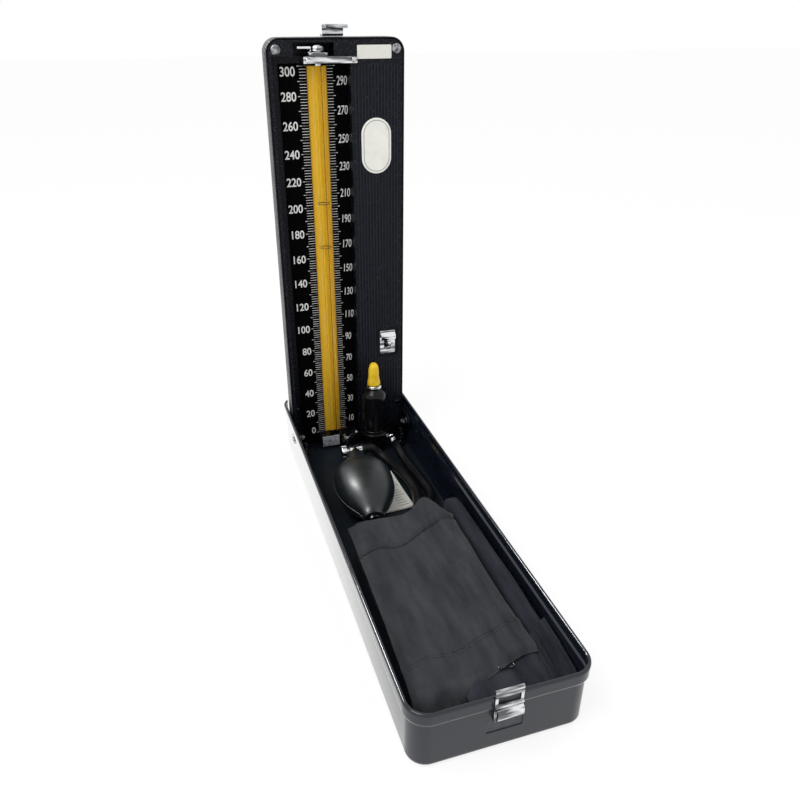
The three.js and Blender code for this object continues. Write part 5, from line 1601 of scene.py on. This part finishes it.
def flap_point(u, v):
    x = FLAP_LEFT + (FLAP_RIGHT - FLAP_LEFT) * u
    y = flap_front(x) + (flap_rear(x) - flap_front(x)) * v
    heights = []
    for dx in (-3, 0, 3):
        for dy in (-3, 0, 3):
            a, b = x + dx, max(y + dy, -155)
            across = smoothstep(30, 37, a)
            rolled = height_on(roll_tree, clamp(a, 35.5, 47.5), b, 25)
            heights.append(top_of_fold(a, b) * (1 - across) + rolled * across)
    z = sum(heights) / len(heights) + 0.9
    z += 0.9 * slow(x + y, (x - y) / 3, 0, 11, 31) + 0.35 * slow(x, y, 0, 5, 32)
    z -= 0.06 * max(0, -155.0 - y) ** 1.6
    z -= 1.6 * smoothstep(0.90, 1, v) * (1 - smoothstep(33, 37, x))
    return x, y, min(z, 33.5)


flap, flap_area = sheet("cuff_front_flap", flap_point, 110, 80, 0.6)
dress(flap, nylon_band, "base", "cloth")
print("flap area", round(flap_area, 6), "m2")

# %% [markdown]
# ## Stitches
#
# Thread runs beside both seams of the cover. Each row is a line of points taken from the cover's own
# shape, a little above it, and the tree sets a bead of thread at every step along the line.

# %% Stitches
STITCH_STEPS = 160


def stitch_line(name, seam, beside):
    """A row of stitches that runs beside a seam of the cover."""
    spots = []
    for i in range(STITCH_STEPS + 1):
        u = 0.04 + 0.92 * i / STITCH_STEPS
        v = (seam(u) + beside - front_edge(u)) / (rear_edge(u) - front_edge(u))
        x, y, z = cover_point(u, v)
        spots.append(Vector((x, y, z + 0.78)) * MM)
    mesh = bpy.data.meshes.new(name)
    mesh.from_pydata(spots, [(i, i + 1) for i in range(STITCH_STEPS)], [])
    return grow(placed(name, mesh), STITCHES, 60,
                Spacing=2.6 * MM, Stitch=1.9 * MM, Thread=0.36 * MM, Material=thread_look)


stitches = gather("cuff_stitches", stitch_line("rear_stitches", rear_seam, 2.6),
                  stitch_line("front_stitches", front_seam, -2.4))
dress(stitches, thread_look, "base", "cloth")
print("stitches faces", len(stitches.data.polygons))

# %% [markdown]
# ## Wire loop and leaflet
#
# A small rounded loop of dark wire lies at the cuff's front edge. Between the bulb and the hoses a
# folded leaflet lies on the tray's floor: three thin sheets that fan out a little, ruled with plain
# grey lines instead of words.

# %% Loop and leaflet
LOOP_MID = (11, -150, 31.1)
LEAF_MID, LEAF_TURN = (9.8, 63.7), math.radians(3.4)
RULED_WIDTH, RULED_TURN = 25.6, LEAF_TURN - 0.015

loop_path = [(x + LOOP_MID[0], y + LOOP_MID[1], LOOP_MID[2]) for x, y in rounded(-4.4, -2.4, 4.4, 2.4, 0.9, 5)]
loop = shape("wire_loop", swept([*loop_path, loop_path[0]], circle(0.42, 12), (0, 0, 1)))
dress(loop, dark_steel, "base", "chrome", "cuff_loop")


def leaf_point(a, b, z, turned_by, curl):
    """From a across and b along a leaf to its place in the tray, curled up towards the right edge."""
    c, s = math.cos(turned_by), math.sin(turned_by)
    return (LEAF_MID[0] + a * c - b * s, LEAF_MID[1] + a * s + b * c, z + curl + 0.05 * math.sin(b / 6))


def leaf(name, width, length, z, turned_by, curl):
    return sheet(name, lambda u, v: leaf_point((u - 0.5) * width, (v - 0.5) * length, z, turned_by, curl * u ** 3),
                 12, 24, 0.14, 40)[0]


def rule(k):
    """One short grey rule on the top sheet."""
    y, x1 = -22 + k * 3.4, 11.2 - (k * 5 % 4) * 1.1
    ring = [leaf_point(a, b, 2.31, RULED_TURN, 0.9 * ((a + RULED_WIDTH / 2) / RULED_WIDTH) ** 3)
            for a, b in ((2, y), (x1, y), (x1, y + 0.5), (2, y + 0.5))]
    return shape("rule", loft([ring, [(x, y, z + 0.04) for x, y, z in ring]]))


leaves = [leaf("sheet_a", 26, 52, 1.55, LEAF_TURN, 0.3), leaf("sheet_b", 25.6, 51.6, 1.85, LEAF_TURN + 0.02, 0.6),
          leaf("sheet_c", RULED_WIDTH, 51.4, 2.15, RULED_TURN, 0.9)]
dress(gather("leaflet_sheets", *leaves), paper, "base", "paper", "leaflet")
dress(gather("leaflet_rules", *[rule(k) for k in range(13)]), ink, "base", "paper")
print("loop and leaflet made")
